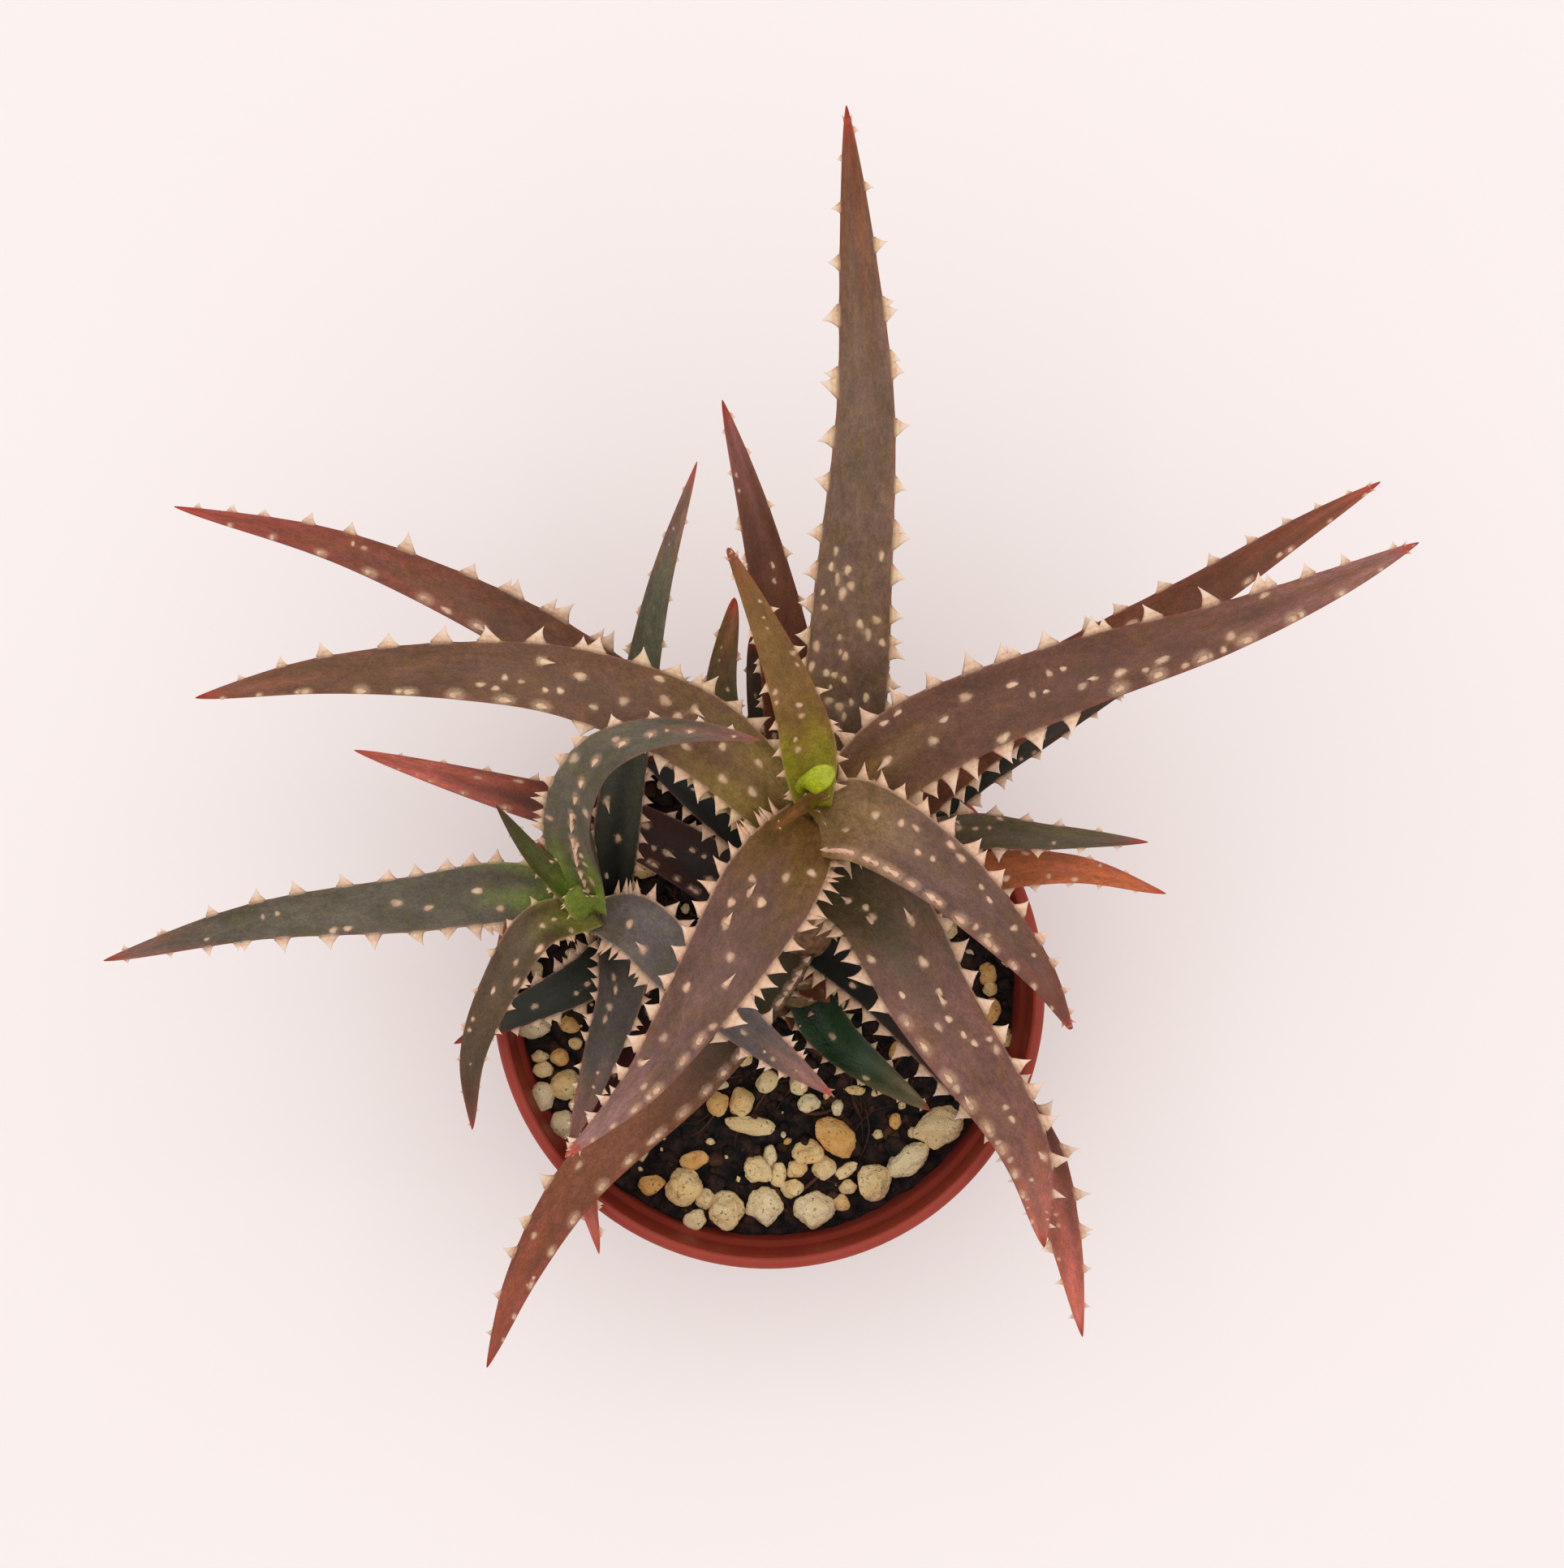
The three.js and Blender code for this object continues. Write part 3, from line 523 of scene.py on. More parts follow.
# What they do to the blade's colour, in turn: the noise, the values between which it sets in, how
# far it goes and the factors for red, green and blue
SKIN_VEILS = (
    ("patches", 0.32, 0.68, 1, (0.68, 0.67, 0.66)),
    ("bloom", 0.4, 0.66, 0.8, (1.12, 1.1, 1.42)),
    ("bloom", 0.46, 0.26, 0.8, (1.04, 1.08, 0.62)),
    ("streaks", 0.45, 0.75, 0.28, (1.35, 0.92, 0.8)),
    ("mottle", 0.38, 0.64, 1, (1.42, 1.4, 1.38)),
    ("speckle", 0.38, 0.62, 1, (0.74, 0.74, 0.74)),
)


# Numbers and curves

def lerp(a, b, share):
    return a + (b - a) * share


def smooth_step(low, high, value):
    t = np.clip((value - low) / (high - low), 0, 1)
    return t * t * (3 - 2 * t)


def rgba(colour):
    """An sRGB colour from 0 to 255 as linear light, with an alpha of 1."""
    c = np.asarray(colour, float) / 255
    return (*np.where(c <= 0.04045, c / 12.92, ((c + 0.055) / 1.055) ** 2.4), 1.0)


def unit(vectors):
    return vectors / np.linalg.norm(vectors, axis=-1, keepdims=True)


def around(count):
    """Angles evenly spread round a circle."""
    return 2 * np.pi * np.arange(count) / count


def circle(radius, angles, height=0):
    return np.stack([radius * np.cos(angles), radius * np.sin(angles), 0 * angles + height], axis=-1)


def stem_point(stem, height):
    t = (height - stem["foot"][2]) / (stem["top"][2] - stem["foot"][2])
    foot, bend, top = (np.array(stem[key], float) for key in ("foot", "bend", "top"))
    return foot * (1 - t) ** 2 + bend * 2 * t * (1 - t) + top * t * t


def catmull_rom(points, t):
    """Points at shares t of a centripetal Catmull-Rom curve through the given points."""
    spans = len(points) - 1
    padded = np.vstack([2 * points[0] - points[1], points, 2 * points[-1] - points[-2]])
    at = np.clip(t, 0, 1) * spans
    first = np.minimum(at.astype(int), spans - 1)
    w = (at - first)[:, None]
    p0, p1, p2, p3 = (padded[first + k] for k in range(4))
    d0, d1, d2 = (np.linalg.norm(b - a, axis=1)[:, None] ** 0.5
                  for a, b in ((p0, p1), (p1, p2), (p2, p3)))
    m1 = ((p1 - p0) / d0 - (p2 - p0) / (d0 + d1) + (p2 - p1) / d1) * d1
    m2 = ((p2 - p1) / d1 - (p3 - p1) / (d1 + d2) + (p3 - p2) / d2) * d1
    rise = 3 * (p2 - p1) - 2 * m1 - m2
    bend = 2 * (p1 - p2) + m1 + m2
    return p1 + m1 * w + rise * w ** 2 + bend * w ** 3


# Meshes

class Shape:
    """Points, faces and values per point that grow into one mesh."""

    KINDS = {1: ("FLOAT", "value"), 3: ("FLOAT_VECTOR", "vector"), 4: ("FLOAT_COLOR", "color")}

    def __init__(self):
        self.points = []
        self.faces = []
        self.values = {}
        self.count = 0

    def add(self, points, faces, **values):
        """Add points and the faces between them; each value is one row a point, or one for all."""
        points = np.asarray(points, float).reshape(-1, 3)
        self.points.append(points)
        self.faces.extend([[self.count + i for i in face] for face in faces])
        for key, value in values.items():
            rows = np.atleast_2d(value)
            rows = rows.reshape(-1, rows.shape[-1])
            self.values.setdefault(key, []).append(np.broadcast_to(rows, (len(points), rows.shape[1])))
        self.count += len(points)

    def make(self, name, material):
        mesh = bpy.data.meshes.new(name)
        mesh.from_pydata((np.vstack(self.points) * MM).tolist(), [], self.faces)
        for key, parts in self.values.items():
            data = np.vstack(parts).astype(np.float32)
            kind, field = self.KINDS[data.shape[1]]
            mesh.attributes.new(key, kind, "POINT").data.foreach_set(field, data.ravel())
        mesh.shade_smooth()
        mesh.materials.append(material)
        made = bpy.data.objects.new(name, mesh)
        bpy.context.scene.collection.objects.link(made)
        return made


def band_faces(rings, sides):
    """Faces between rings of as many points each, anticlockwise as seen from the first ring."""
    faces = []
    for i in range(rings - 1):
        for j in range(sides):
            a = i * sides + j
            b = i * sides + (j + 1) % sides
            faces.append((a, a + sides, b + sides, b))
    return faces


def tube_faces(rings, sides):
    """The faces of a band of rings that is closed at both ends."""
    last = (rings - 1) * sides
    return [*band_faces(rings, sides), tuple(range(sides)), tuple(range(last + sides - 1, last - 1, -1))]


def flipped(faces):
    return [face[::-1] for face in faces]


# Leaves. Everywhere s is a share of a leaf's length, and a a share of its half width, from -1 to 1.

class Tooth(NamedTuple):
    """A marginal tooth, on the right, 1, or the left, -1."""
    s: float
    hand: int
    height: float
    length: float


class Spot(NamedTuple):
    """A raised spot on the upper or the back face."""
    s: float
    a: float
    upper: bool
    length: float
    width: float


class Blade:
    """The surface of one leaf, with the places of its teeth and spots."""

    def __init__(self, leaf, stem):
        self.leaf = leaf
        self.random = random.Random(leaf.name)
        points = np.array([stem_point(stem, leaf.at), *leaf.path], float)
        self.line = catmull_rom(points, np.linspace(0, 1, LEAF_SAMPLES + 1))
        steps = np.linalg.norm(np.diff(self.line, axis=0), axis=1)
        lengths = np.concatenate([[0], np.cumsum(steps)])
        self.length = lengths[-1]
        self.share = lengths / self.length
        heading = unit((self.line[-1] - self.line[0]) * (1, 1, 0))
        self.face = np.array(leaf.face or (0, 0, 1) - LEAF_LEAN_BACK * heading, float)
        self.phases = [self.random.uniform(0, 2 * math.pi) for _ in range(6)]
        self.teeth = list(self.tooth_places()) if leaf.tooth else []
        self.spots = list(self.spot_places()) if leaf.spots else []

    def point(self, s):
        return np.stack([np.interp(s, self.share, self.line[:, k]) for k in range(3)], axis=-1)

    def axes(self, s):
        """Directions along the leaf, to its side and out of its upper face."""
        before, after = np.maximum(s - LEAF_AXIS_REACH, 0), np.minimum(s + LEAF_AXIS_REACH, 1)
        along = unit(self.point(after) - self.point(before))
        side = unit(np.cross(along, self.face))
        return along, side, unit(np.cross(side, along))

    def axes_at(self, s):
        return [axis[0] for axis in self.axes(np.array([s]))]

    def profile(self, s):
        """The leaf's width as a share of its greatest width."""
        leaf = self.leaf
        end = LEAF_ROUND_END * leaf.blunt
        round_end = np.sqrt(1 - np.clip((s - 1 + end) / (end + 1e-6), 0, 1) ** 2)
        s = s * (1 - leaf.blunt)
        rise = LEAF_BASE + (1 - LEAF_BASE) * np.sin(np.pi / 2 * np.minimum(s / leaf.peak, 1))
        beyond = np.clip((s - leaf.peak) / (1 - leaf.peak), 0, 1)
        return np.where(s < leaf.peak, rise, (1 - beyond ** LEAF_SHOULDER) ** leaf.taper) * round_end

    def upright(self, tooth):
        """Whether a tooth stands up on a rolled edge."""
        return tooth.hand == self.leaf.ridge and tooth.s > self.leaf.ridge_from

    def half_width(self, s, hand=0):
        """Half the width on one hand, swollen at the feet of its teeth, or the plain half width."""
        half = self.leaf.width / 2 * self.profile(s)
        for tooth in self.teeth:
            if not self.upright(tooth):
                away = (s - tooth.s) * self.length / (EDGE_SWELL_LENGTH * tooth.length)
                swell = EDGE_SWELL * tooth.height * np.exp(-away ** 2)
                half = half + np.where(hand * tooth.hand > 0, swell, 0)
        return half

    def thickness(self, s):
        share = self.profile(s)
        full = self.leaf.width * self.leaf.thickness * lerp(LEAF_THIN_END, 1, share)
        return np.minimum(np.maximum(full, LEAF_THINNEST), 1.5 * self.leaf.width / 2 * share)

    def unevenness(self, s, a):
        waves = sum(strength * np.sin(s * self.length / length + phase + slant * a)
                    for (length, strength, slant), phase in zip(LEAF_WAVES, self.phases))
        return LEAF_WAVE * waves * (1 - LEAF_WAVE_FADE * a * a)

    def surface(self, s, a, upper):
        """Points of the upper or the back face, and the directions out of it."""
        _, side, normal = self.axes(s)
        half = self.half_width(s, np.sign(a))
        thick = self.thickness(s)
        lift = self.leaf.width * self.leaf.fold * self.profile(s)
        belly = np.clip(1 - a * a, 0, 1)
        back = LEAF_EDGE + (1 - LEAF_EDGE) * belly ** LEAF_BACK_ROUNDING
        depth = np.where(upper, LEAF_EDGE * np.abs(a) ** LEAF_EDGE_SHARPNESS, back)
        height = (lift * a * a - depth * thick
                  + self.unevenness(s, a) * belly ** 0.5 * np.where(upper, 1, -1))
        slope = (2 * lift * a) / half
        steep = 2 * a * (1 - LEAF_EDGE) * LEAF_BACK_ROUNDING * thick
        slope_back = slope + steep * np.maximum(belly, LEAF_STEEPEST) ** (LEAF_BACK_ROUNDING - 1) / half
        points = self.point(s) + side * (a * half)[..., None] + normal * height[..., None]
        out_up = unit(normal - side * slope[..., None])
        out_back = unit(side * slope_back[..., None] - normal)
        return points, np.where(np.asarray(upper)[..., None], out_up, out_back)

    def skin_at(self, s, a):
        """A point of the upper face and the direction out of it."""
        points, out = self.surface(np.array([s]), np.array([a]), np.array([True]))
        return points[0], out[0]

    def inside(self, s, a):
        """The point midway between the two faces of the blade."""
        place = (np.array([s, s]), np.array([a, a]), np.array([True, False]))
        return self.surface(*place)[0].mean(axis=0)

    def tooth_places(self):
        leaf = self.leaf
        rnd = self.random
        for hand in (-1, 1):
            at = TEETH_FROM + rnd.uniform(0, TEETH_FROM_SPREAD)
            while at < TEETH_TO * self.length:
                s = at / self.length
                outward = min(at / TOOTH_REACH, 1)
                half = leaf.width / 2 * float(self.profile(s))
                fit = min(max(half / FULL_TOOTH_HALF_WIDTH, SMALL_TOOTH), 1)
                step = min(TOOTH_STEP + TOOTH_STEP_GROWTH * at, TOOTH_LAST_STEP) * leaf.spacing
                height = lerp(*TOOTH_HEIGHT, outward) * leaf.tooth * fit
                height *= rnd.uniform(*TOOTH_HEIGHT_SPREAD)
                length = lerp(*TOOTH_LENGTH, outward) * fit * min(leaf.tooth, 1)
                length = min(TOOTH_LONGEST * step, length) * rnd.uniform(*TOOTH_LENGTH_SPREAD)
                yield Tooth(s, hand, height, length)
                if rnd.random() < TWIN_SHARE:
                    yield Tooth(s + TWIN_SHIFT * length / self.length, hand, TWIN_HEIGHT * height,
                                TWIN_LENGTH * length)
                at += step * lerp(0.7, 1, fit) * rnd.uniform(*TOOTH_STEP_SPREAD)

    def spot_places(self):
        leaf = self.leaf
        rnd = self.random
        for upper in (True, False):
            at = SPOT_FROM * self.length + rnd.uniform(0, 3)
            while at < leaf.spots_to * self.length:
                s = at / self.length
                share = float(self.profile(s))
                room = min(1.0, leaf.width * share / SPOT_FULL_WIDTH)
                a = rnd.choice(SPOT_LANES) + rnd.uniform(-SPOT_LANE_SPREAD, SPOT_LANE_SPREAD)
                pair = rnd.random() < SPOT_PAIRS
                size = SPOT_PAIR_SIZE if pair else (1, 1)
                for _ in range(2 if pair else 1):
                    length = rnd.uniform(*SPOT_LENGTH) * room * size[0]
                    width = rnd.uniform(*SPOT_WIDTH) * room * size[1]
                    inside = SPOT_INSIDE - width / (leaf.width * share)
                    yield Spot(s, min(max(a, -inside), inside), upper, length, width)
                    s += rnd.uniform(*SPOT_PAIR_STEP) / self.length
                    a += rnd.uniform(-SPOT_LANE_SPREAD, SPOT_LANE_SPREAD)
                step = SPOT_STEP / leaf.spots / lerp(0.6, 1, share) * lerp(0.8, 1.6, s)
                at += step * rnd.uniform(*SPOT_STEP_SPREAD)

    def tint(self, s, a, upper):
        """Skin colour, in linear light."""
        leaf = self.leaf
        skin = SKINS[leaf.skin]
        s_here = s + 0.05 * np.sin(5 * a + self.phases[3])
        blush = leaf.blush * smooth_step(0.15, 0.7, s) + 0.3 * smooth_step(0.8, 1, np.abs(a)) * s
        colour = np.array(rgba(skin.base))
        for over, share in ((skin.middle, smooth_step(0.06, skin.green, s_here)),
                            (skin.tip, smooth_step(skin.redden, 1.02, s_here)),
                            (BLUSH_RED, np.clip(blush, 0, 0.7)),
                            (TIP_RED, leaf.red_tip * smooth_step(0.93, 0.995, s))):
            colour = lerp(colour, np.array(rgba(over)), share[..., None])
        colour[..., :3] *= np.where(upper, 1, BACK_SHADE)[..., None]
        return colour

    def halo(self, s, a, upper):
        """How far the pale margin, feet of teeth and rims of spots show in the skin, 0 to 1."""
        half = self.half_width(s)
        inward = (1 - np.abs(a)) * half
        margin = self.leaf.margin * smooth_step(0.8, 0.15, s) * np.exp(-(inward / MARGIN_REACH) ** 2)
        pale = margin * np.where(a * self.leaf.ridge > 0, 0, 1)
        for tooth in self.teeth:
            along = (s - tooth.s) * self.length / (TOOTH_HALO_LENGTH * tooth.length)
            if self.upright(tooth):
                strength, reach = UPRIGHT_HALO
                away = (a - tooth.hand * self.leaf.ridge_at) * half
                foot = strength * np.exp(-along ** 2 - (away / (reach * tooth.height)) ** 2) * upper
            else:
                strength, reach = TOOTH_HALO
                foot = strength * np.exp(-along ** 4 - (inward / (reach * tooth.height)) ** 2)
                foot = foot * (a * tooth.hand > 0)
            pale = np.maximum(pale, foot)
        strength, reach = SPOT_HALO
        for spot in self.spots:
            along = (s - spot.s) * self.length / (reach * spot.length)
            away = (a - spot.a) * half / (reach * spot.width)
            pale = np.maximum(pale, strength * np.exp(-along ** 2 - away ** 2) * (upper == spot.upper))
        return pale

    def flow(self, s, a):
        """Texture coordinates in millimetres, along and across the blade."""
        own = self.phases[4] * 20
        return np.stack([s * self.length + own, a * self.leaf.width / 2, own + 0 * s], axis=-1)


def add_blade(shape, blade):
    """The blade's own skin and its marginal teeth."""
    rings = max(8, round(blade.length / LEAF_RING_STEP))
    steps = 1 - (1 - np.linspace(0, 1, rings)) ** LEAF_RING_CROWDING
    s, theta = np.meshgrid(steps * LEAF_END, around(LEAF_SIDES), indexing="ij")
    a = np.cos(theta)
    upper = np.sin(theta) > -1e-9
    shape.add(blade.surface(s, a, upper)[0], tube_faces(rings, LEAF_SIDES), tint=blade.tint(s, a, upper),
              pale=blade.halo(s, a, upper)[..., None], flow=blade.flow(s, a))
    for tooth in blade.teeth:
        add_tooth(shape, blade, tooth)


def add_spike(shape, blade, s, root, foot, axes, size, rise=0.0, hook=0.0, hollow=1.4,
              pale=(0.5, 1.0)):
    """A thorn from `root` inside the blade through `foot` outwards.

    `axes` are its directions outwards, lengthwise and across, and `size` its extent in each. Its
    tip leans by `hook` lengthwise and by `rise` across, and its flanks are as concave as `hollow`.
    `pale` runs from its foot to its tip.
    """
    out, lean, normal = axes
    height, length, thick = size
    h = np.array(SPIKE_RINGS, float)
    over = np.maximum(h, 0)
    centre = (foot + out * (over * height)[:, None]
              + lean * (hook * over ** SPIKE_HOOK_CURVE)[:, None] + normal * (rise * over)[:, None])
    centre[0] = root
    narrow, flat = (np.where(h < 0, at_root, lerp(at_tip, 1, (1 - over) ** power))
                    for at_root, at_tip, power in zip(SPIKE_ROOT, SPIKE_TIP, (hollow, SPIKE_FLATNESS)))
    turns = around(SPIKE_SIDES)
    squared = np.sign(np.sin(turns)) * np.abs(np.sin(turns)) ** SPIKE_SQUARENESS
    ring = (lean * (np.cos(turns) * length / 2)[:, None])[None] * narrow[:, None, None]
    ring = ring + (normal * (squared * thick / 2)[:, None])[None] * flat[:, None, None]
    points = (centre[:, None] + ring).reshape(-1, 3)
    faces = tube_faces(len(h), SPIKE_SIDES)
    if np.dot(np.cross(lean, normal), out) > 0:
        faces = flipped(faces)
    tint = blade.tint(np.array([s]), np.array([0.0]), np.array([True]))
    flow = blade.flow(np.full(len(points), s), np.zeros(len(points)))
    flow[:, 1:] += points[:, :2]
    fade = np.repeat(lerp(*pale, np.clip(h / SPIKE_PALE_FROM, 0, 1)), SPIKE_SIDES)
    shape.add(points, faces, tint=tint, pale=fade[:, None], flow=flow)


def add_tooth(shape, blade, tooth):
    """A marginal tooth: outwards from the edge, or upright on a rolled edge."""
    s, hand, height, length = tooth
    along, side, normal = blade.axes_at(s)
    rnd = blade.random
    hook = rnd.uniform(*TOOTH_HOOK) * height / TOOTH_HEIGHT[0]
    if blade.upright(tooth):
        foot, up = blade.skin_at(s, hand * blade.leaf.ridge_at)
        lift, spread, back = UPRIGHT_LEAN
        out = unit(lift * up + spread * hand * side - back * along)
        lean = unit(along - np.dot(along, out) * out)
        size = (UPRIGHT_HEIGHT * height, UPRIGHT_LENGTH * length, min(UPRIGHT_THICKNESS, 0.5 * height))
        add_spike(shape, blade, s, foot - UPRIGHT_ROOT * out, foot, (out, lean, np.cross(out, lean)),
                  size, hook=hook, pale=(0.5, 0.95))
        return
    half = float(blade.half_width(np.array([s]))[0])
    root = blade.inside(s, hand * (1 - min(TOOTH_ROOT, TOOTH_ROOT_SHARE * half) / half))
    foot = blade.inside(s, hand * TOOTH_FOOT)
    out = unit(side * hand + TOOTH_TILT * unit(foot - root))
    normal = unit(normal - np.dot(normal, out) * out)
    outward = min(s * blade.length / TOOTH_REACH, 1)
    add_spike(shape, blade, s, root, foot, (out, along, normal),
              (height, length, min(TOOTH_THICKNESS, 0.35 * height)), hook=hook,
              rise=rnd.uniform(*TOOTH_RISE) * height / 3, hollow=lerp(*TOOTH_HOLLOW, outward),
              pale=(TOOTH_PALE_FOOT, lerp(*TOOTH_PALE_TIP, outward)))


def add_end_teeth(shape, blade):
    """Small teeth that fan out round a blunt tip."""
    count = blade.leaf.end_teeth
    for i in range(count):
        s = END_TOOTH_AT - END_TOOTH_BACK * abs(i - (count - 1) / 2)
        fan = math.radians(lerp(*END_TOOTH_FAN, (i + 0.5) / count))
        along, side, normal = blade.axes_at(s)
        out = along * math.cos(fan) + side * math.sin(fan)
        lean = unit(side * math.cos(fan) - along * math.sin(fan))
        foot = blade.skin_at(s, math.sin(fan))[0] - normal * END_TOOTH_SINK
        add_spike(shape, blade, 1.0, foot - out * END_TOOTH_ROOT, foot, (out, lean, normal),
                  END_TOOTH_SIZE, pale=(0.1, 0.7))


def add_spot(shape, blade, spot):
    """A low dome on the skin, longer along the leaf, and at times a prickle on it."""
    rnd = blade.random
    half = float(blade.half_width(np.array(spot.s)))
    room = spot.width / SPOT_WIDTH[1]
    r, phi = np.meshgrid(SPOT_RINGS, around(SPOT_SIDES), indexing="ij")
    uneven = np.sin(2 * phi + rnd.uniform(0, 6)) + np.sin(3 * phi + rnd.uniform(0, 6))
    uneven = 1 + SPOT_UNEVEN * uneven
    s = spot.s + np.append(r * np.cos(phi) * uneven * spot.length / 2 / blade.length, 0)
    a = spot.a + np.append(r * np.sin(phi) * uneven * spot.width / 2 / half, 0)
    r = np.append(r, 0)
    height = (SPOT_HEIGHT + SPOT_SINK) * room * (1 - r * r) ** SPOT_DOME - SPOT_SINK
    upper = np.full(len(r), spot.upper)
    points, out = blade.surface(s, a, upper)
    points = points + out * height[:, None]
    middle = len(r) - 1
    faces = band_faces(len(SPOT_RINGS), SPOT_SIDES)
    faces += [(middle, j, (j + 1) % SPOT_SIDES) for j in range(SPOT_SIDES)]
    if not spot.upper:
        faces = flipped(faces)
    strength = lerp(*SPOT_PALE, spot.s) * rnd.uniform(0.65, 1)
    pale = lerp(SPOT_RIM, strength, smooth_step(1.0, 0.3, r))
    shape.add(points, faces, tint=blade.tint(s, a, upper), pale=pale[:, None], flow=blade.flow(s, a))
    if rnd.random() < blade.leaf.prickles and room > PRICKLE_ROOM:
        add_prickle(shape, blade, spot.s, points[-1], out[-1], room, strength)


def add_prickle(shape, blade, s, foot, up, room, pale):
    rnd = blade.random
    along, side, _ = blade.axes_at(s)
    lift, back, spread = PRICKLE_LEAN
    out = unit(up * lift - along * back + side * rnd.uniform(-spread, spread))
    across = np.cross(out, side)
    length, thick = PRICKLE_THICKNESS
    add_spike(shape, blade, s, foot - out * 0.5, foot, (out, side, across),
              (rnd.uniform(*PRICKLE_LENGTH) * room, length * room, thick * room),
              rise=-math.copysign(PRICKLE_RISE, np.dot(across, up)), hollow=1.1, pale=(pale, 1.1))


def leaf_piece(leaf, stem):
    blade = Blade(leaf, stem)
    shape = Shape()
    add_blade(shape, blade)
    add_end_teeth(shape, blade)
    for spot in blade.spots:
        add_spot(shape, blade, spot)
    made = shape.make(leaf.name + "_fine", skin_material(leaf.skin))
    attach(made, "root")
    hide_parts(leaf.name)


# Materials

class Paint:
    """A material under work: its nodes and its shader."""

    def __init__(self, name):
        self.material = bpy.data.materials.new(name)
        self.material.use_nodes = True
        self.tree = self.material.node_tree

    def feed(self, node, inputs):
        """Set each input to its constant, or link it to the socket that it is given."""
        for key, value in inputs.items():
            if isinstance(value, bpy.types.NodeSocket):
                self.tree.links.new(value, node.inputs[key])
            else:
                node.inputs[key].default_value = value

    def node(self, kind, output, inputs, **settings):
        """The output socket of a new node."""
        node = self.tree.nodes.new(kind)
        for key, value in settings.items():
            setattr(node, key, value)
        self.feed(node, inputs)
        return node.outputs[output]

    def attribute(self, name, output="Fac"):
        return self.node("ShaderNodeAttribute", output, {}, attribute_name=name)

    def place(self):
        """Where the skin is, in metres."""
        return self.node("ShaderNodeTexCoord", "Object", {})

    def noise(self, place, scale, detail, rough=0.5):
        scaled = self.node("ShaderNodeMapping", "Vector", {"Vector": place, "Scale": scale})
        return self.node("ShaderNodeTexNoise", "Fac",
                         {"Vector": scaled, "Scale": 1.0, "Detail": detail, "Roughness": rough})

    def ranged(self, value, low, high, to_low=0, to_high=1):
        """A value mapped from one range to another, and held inside it."""
        return self.node("ShaderNodeMapRange", "Result",
                         {"Value": value, "From Min": low, "From Max": high, "To Min": to_low,
                          "To Max": to_high})

    def mixed(self, share, a, b, blend="MIX"):
        return self.node("ShaderNodeMix", 2, {0: share, 6: a, 7: b}, data_type="RGBA", blend_type=blend)

    def laid(self, under, over, value, low, high, most=1):
        """A colour with another laid over it, fully or `most`, as the value goes from low to high."""
        return self.mixed(self.ranged(value, low, high, 0, most), under, rgba(over))

    def computed(self, operation, a, b):
        return self.node("ShaderNodeMath", 0, {0: a, 1: b}, operation=operation)

    def plus(self, a, b):
        return self.computed("ADD", a, b)

    def times(self, a, b):
        return self.computed("MULTIPLY", a, b)

    def bumped(self, height, strength, distance):
        return self.node("ShaderNodeBump", "Normal",
                         {"Height": height, "Strength": strength, "Distance": distance * MM})

    def done(self, inputs):
        """The material, once its shader has the given inputs."""
        self.feed(self.tree.nodes["Principled BSDF"], inputs)
        return self.material


def skin_material(name):
    """Leaf skin: the blade's own tint under the veils of its noises, and pale raised parts."""
    known = bpy.data.materials.get("skin_" + name)
    if known:
        return known
    skin = SKINS[name]
    paint = Paint("skin_" + name)
    flow = paint.attribute("flow", "Vector")
    pale = paint.attribute("pale")
    noises = {key: paint.noise(flow, *settings) for key, settings in SKIN_NOISES.items()}
    colour = paint.attribute("tint", "Color")
    for key, low, high, most, factors in SKIN_VEILS:
        share = paint.ranged(noises[key], low, high, 0, most)
        colour = paint.mixed(share, colour, (*factors, 1), "MULTIPLY")
    mottle, speckle = noises["mottle"], noises["speckle"]
    cream = paint.laid(rgba(skin.pale), (208, 160, 130), mottle, 0.35, 0.65)
    cream = paint.laid(cream, (234, 204, 184), pale, 1, 1.3)
    amount = paint.plus(pale, paint.ranged(speckle, 0.3, 0.7, -0.08, 0.08))
    relief = paint.plus(paint.times(mottle, 0.8), paint.times(speckle, 0.35))
    return paint.done({
        "Base Color": paint.mixed(paint.ranged(amount, 0.12, 0.72), colour, cream),
        "Roughness": paint.ranged(mottle, 0.3, 0.7, skin.rough - 0.06, skin.rough + 0.12),
        "Normal": paint.bumped(relief, 0.45, 0.35),
        "Specular IOR Level": 0.32})


def stem_material():
    """Dry, fibrous stem skin in browns."""
    paint = Paint("stem_skin")
    place = paint.place()
    fibres = paint.noise(place, (900, 900, 160), 4, 0.6)
    patches = paint.noise(place, (220, 220, 220), 3)
    colour = paint.laid(rgba((84, 52, 34)), (158, 112, 74), fibres, 0.3, 0.7)
    colour = paint.laid(colour, (92, 84, 40), patches, 0.4, 0.7, 0.7)
    return paint.done({"Base Color": colour, "Normal": paint.bumped(fibres, 0.6, 0.5), "Roughness": 0.8})


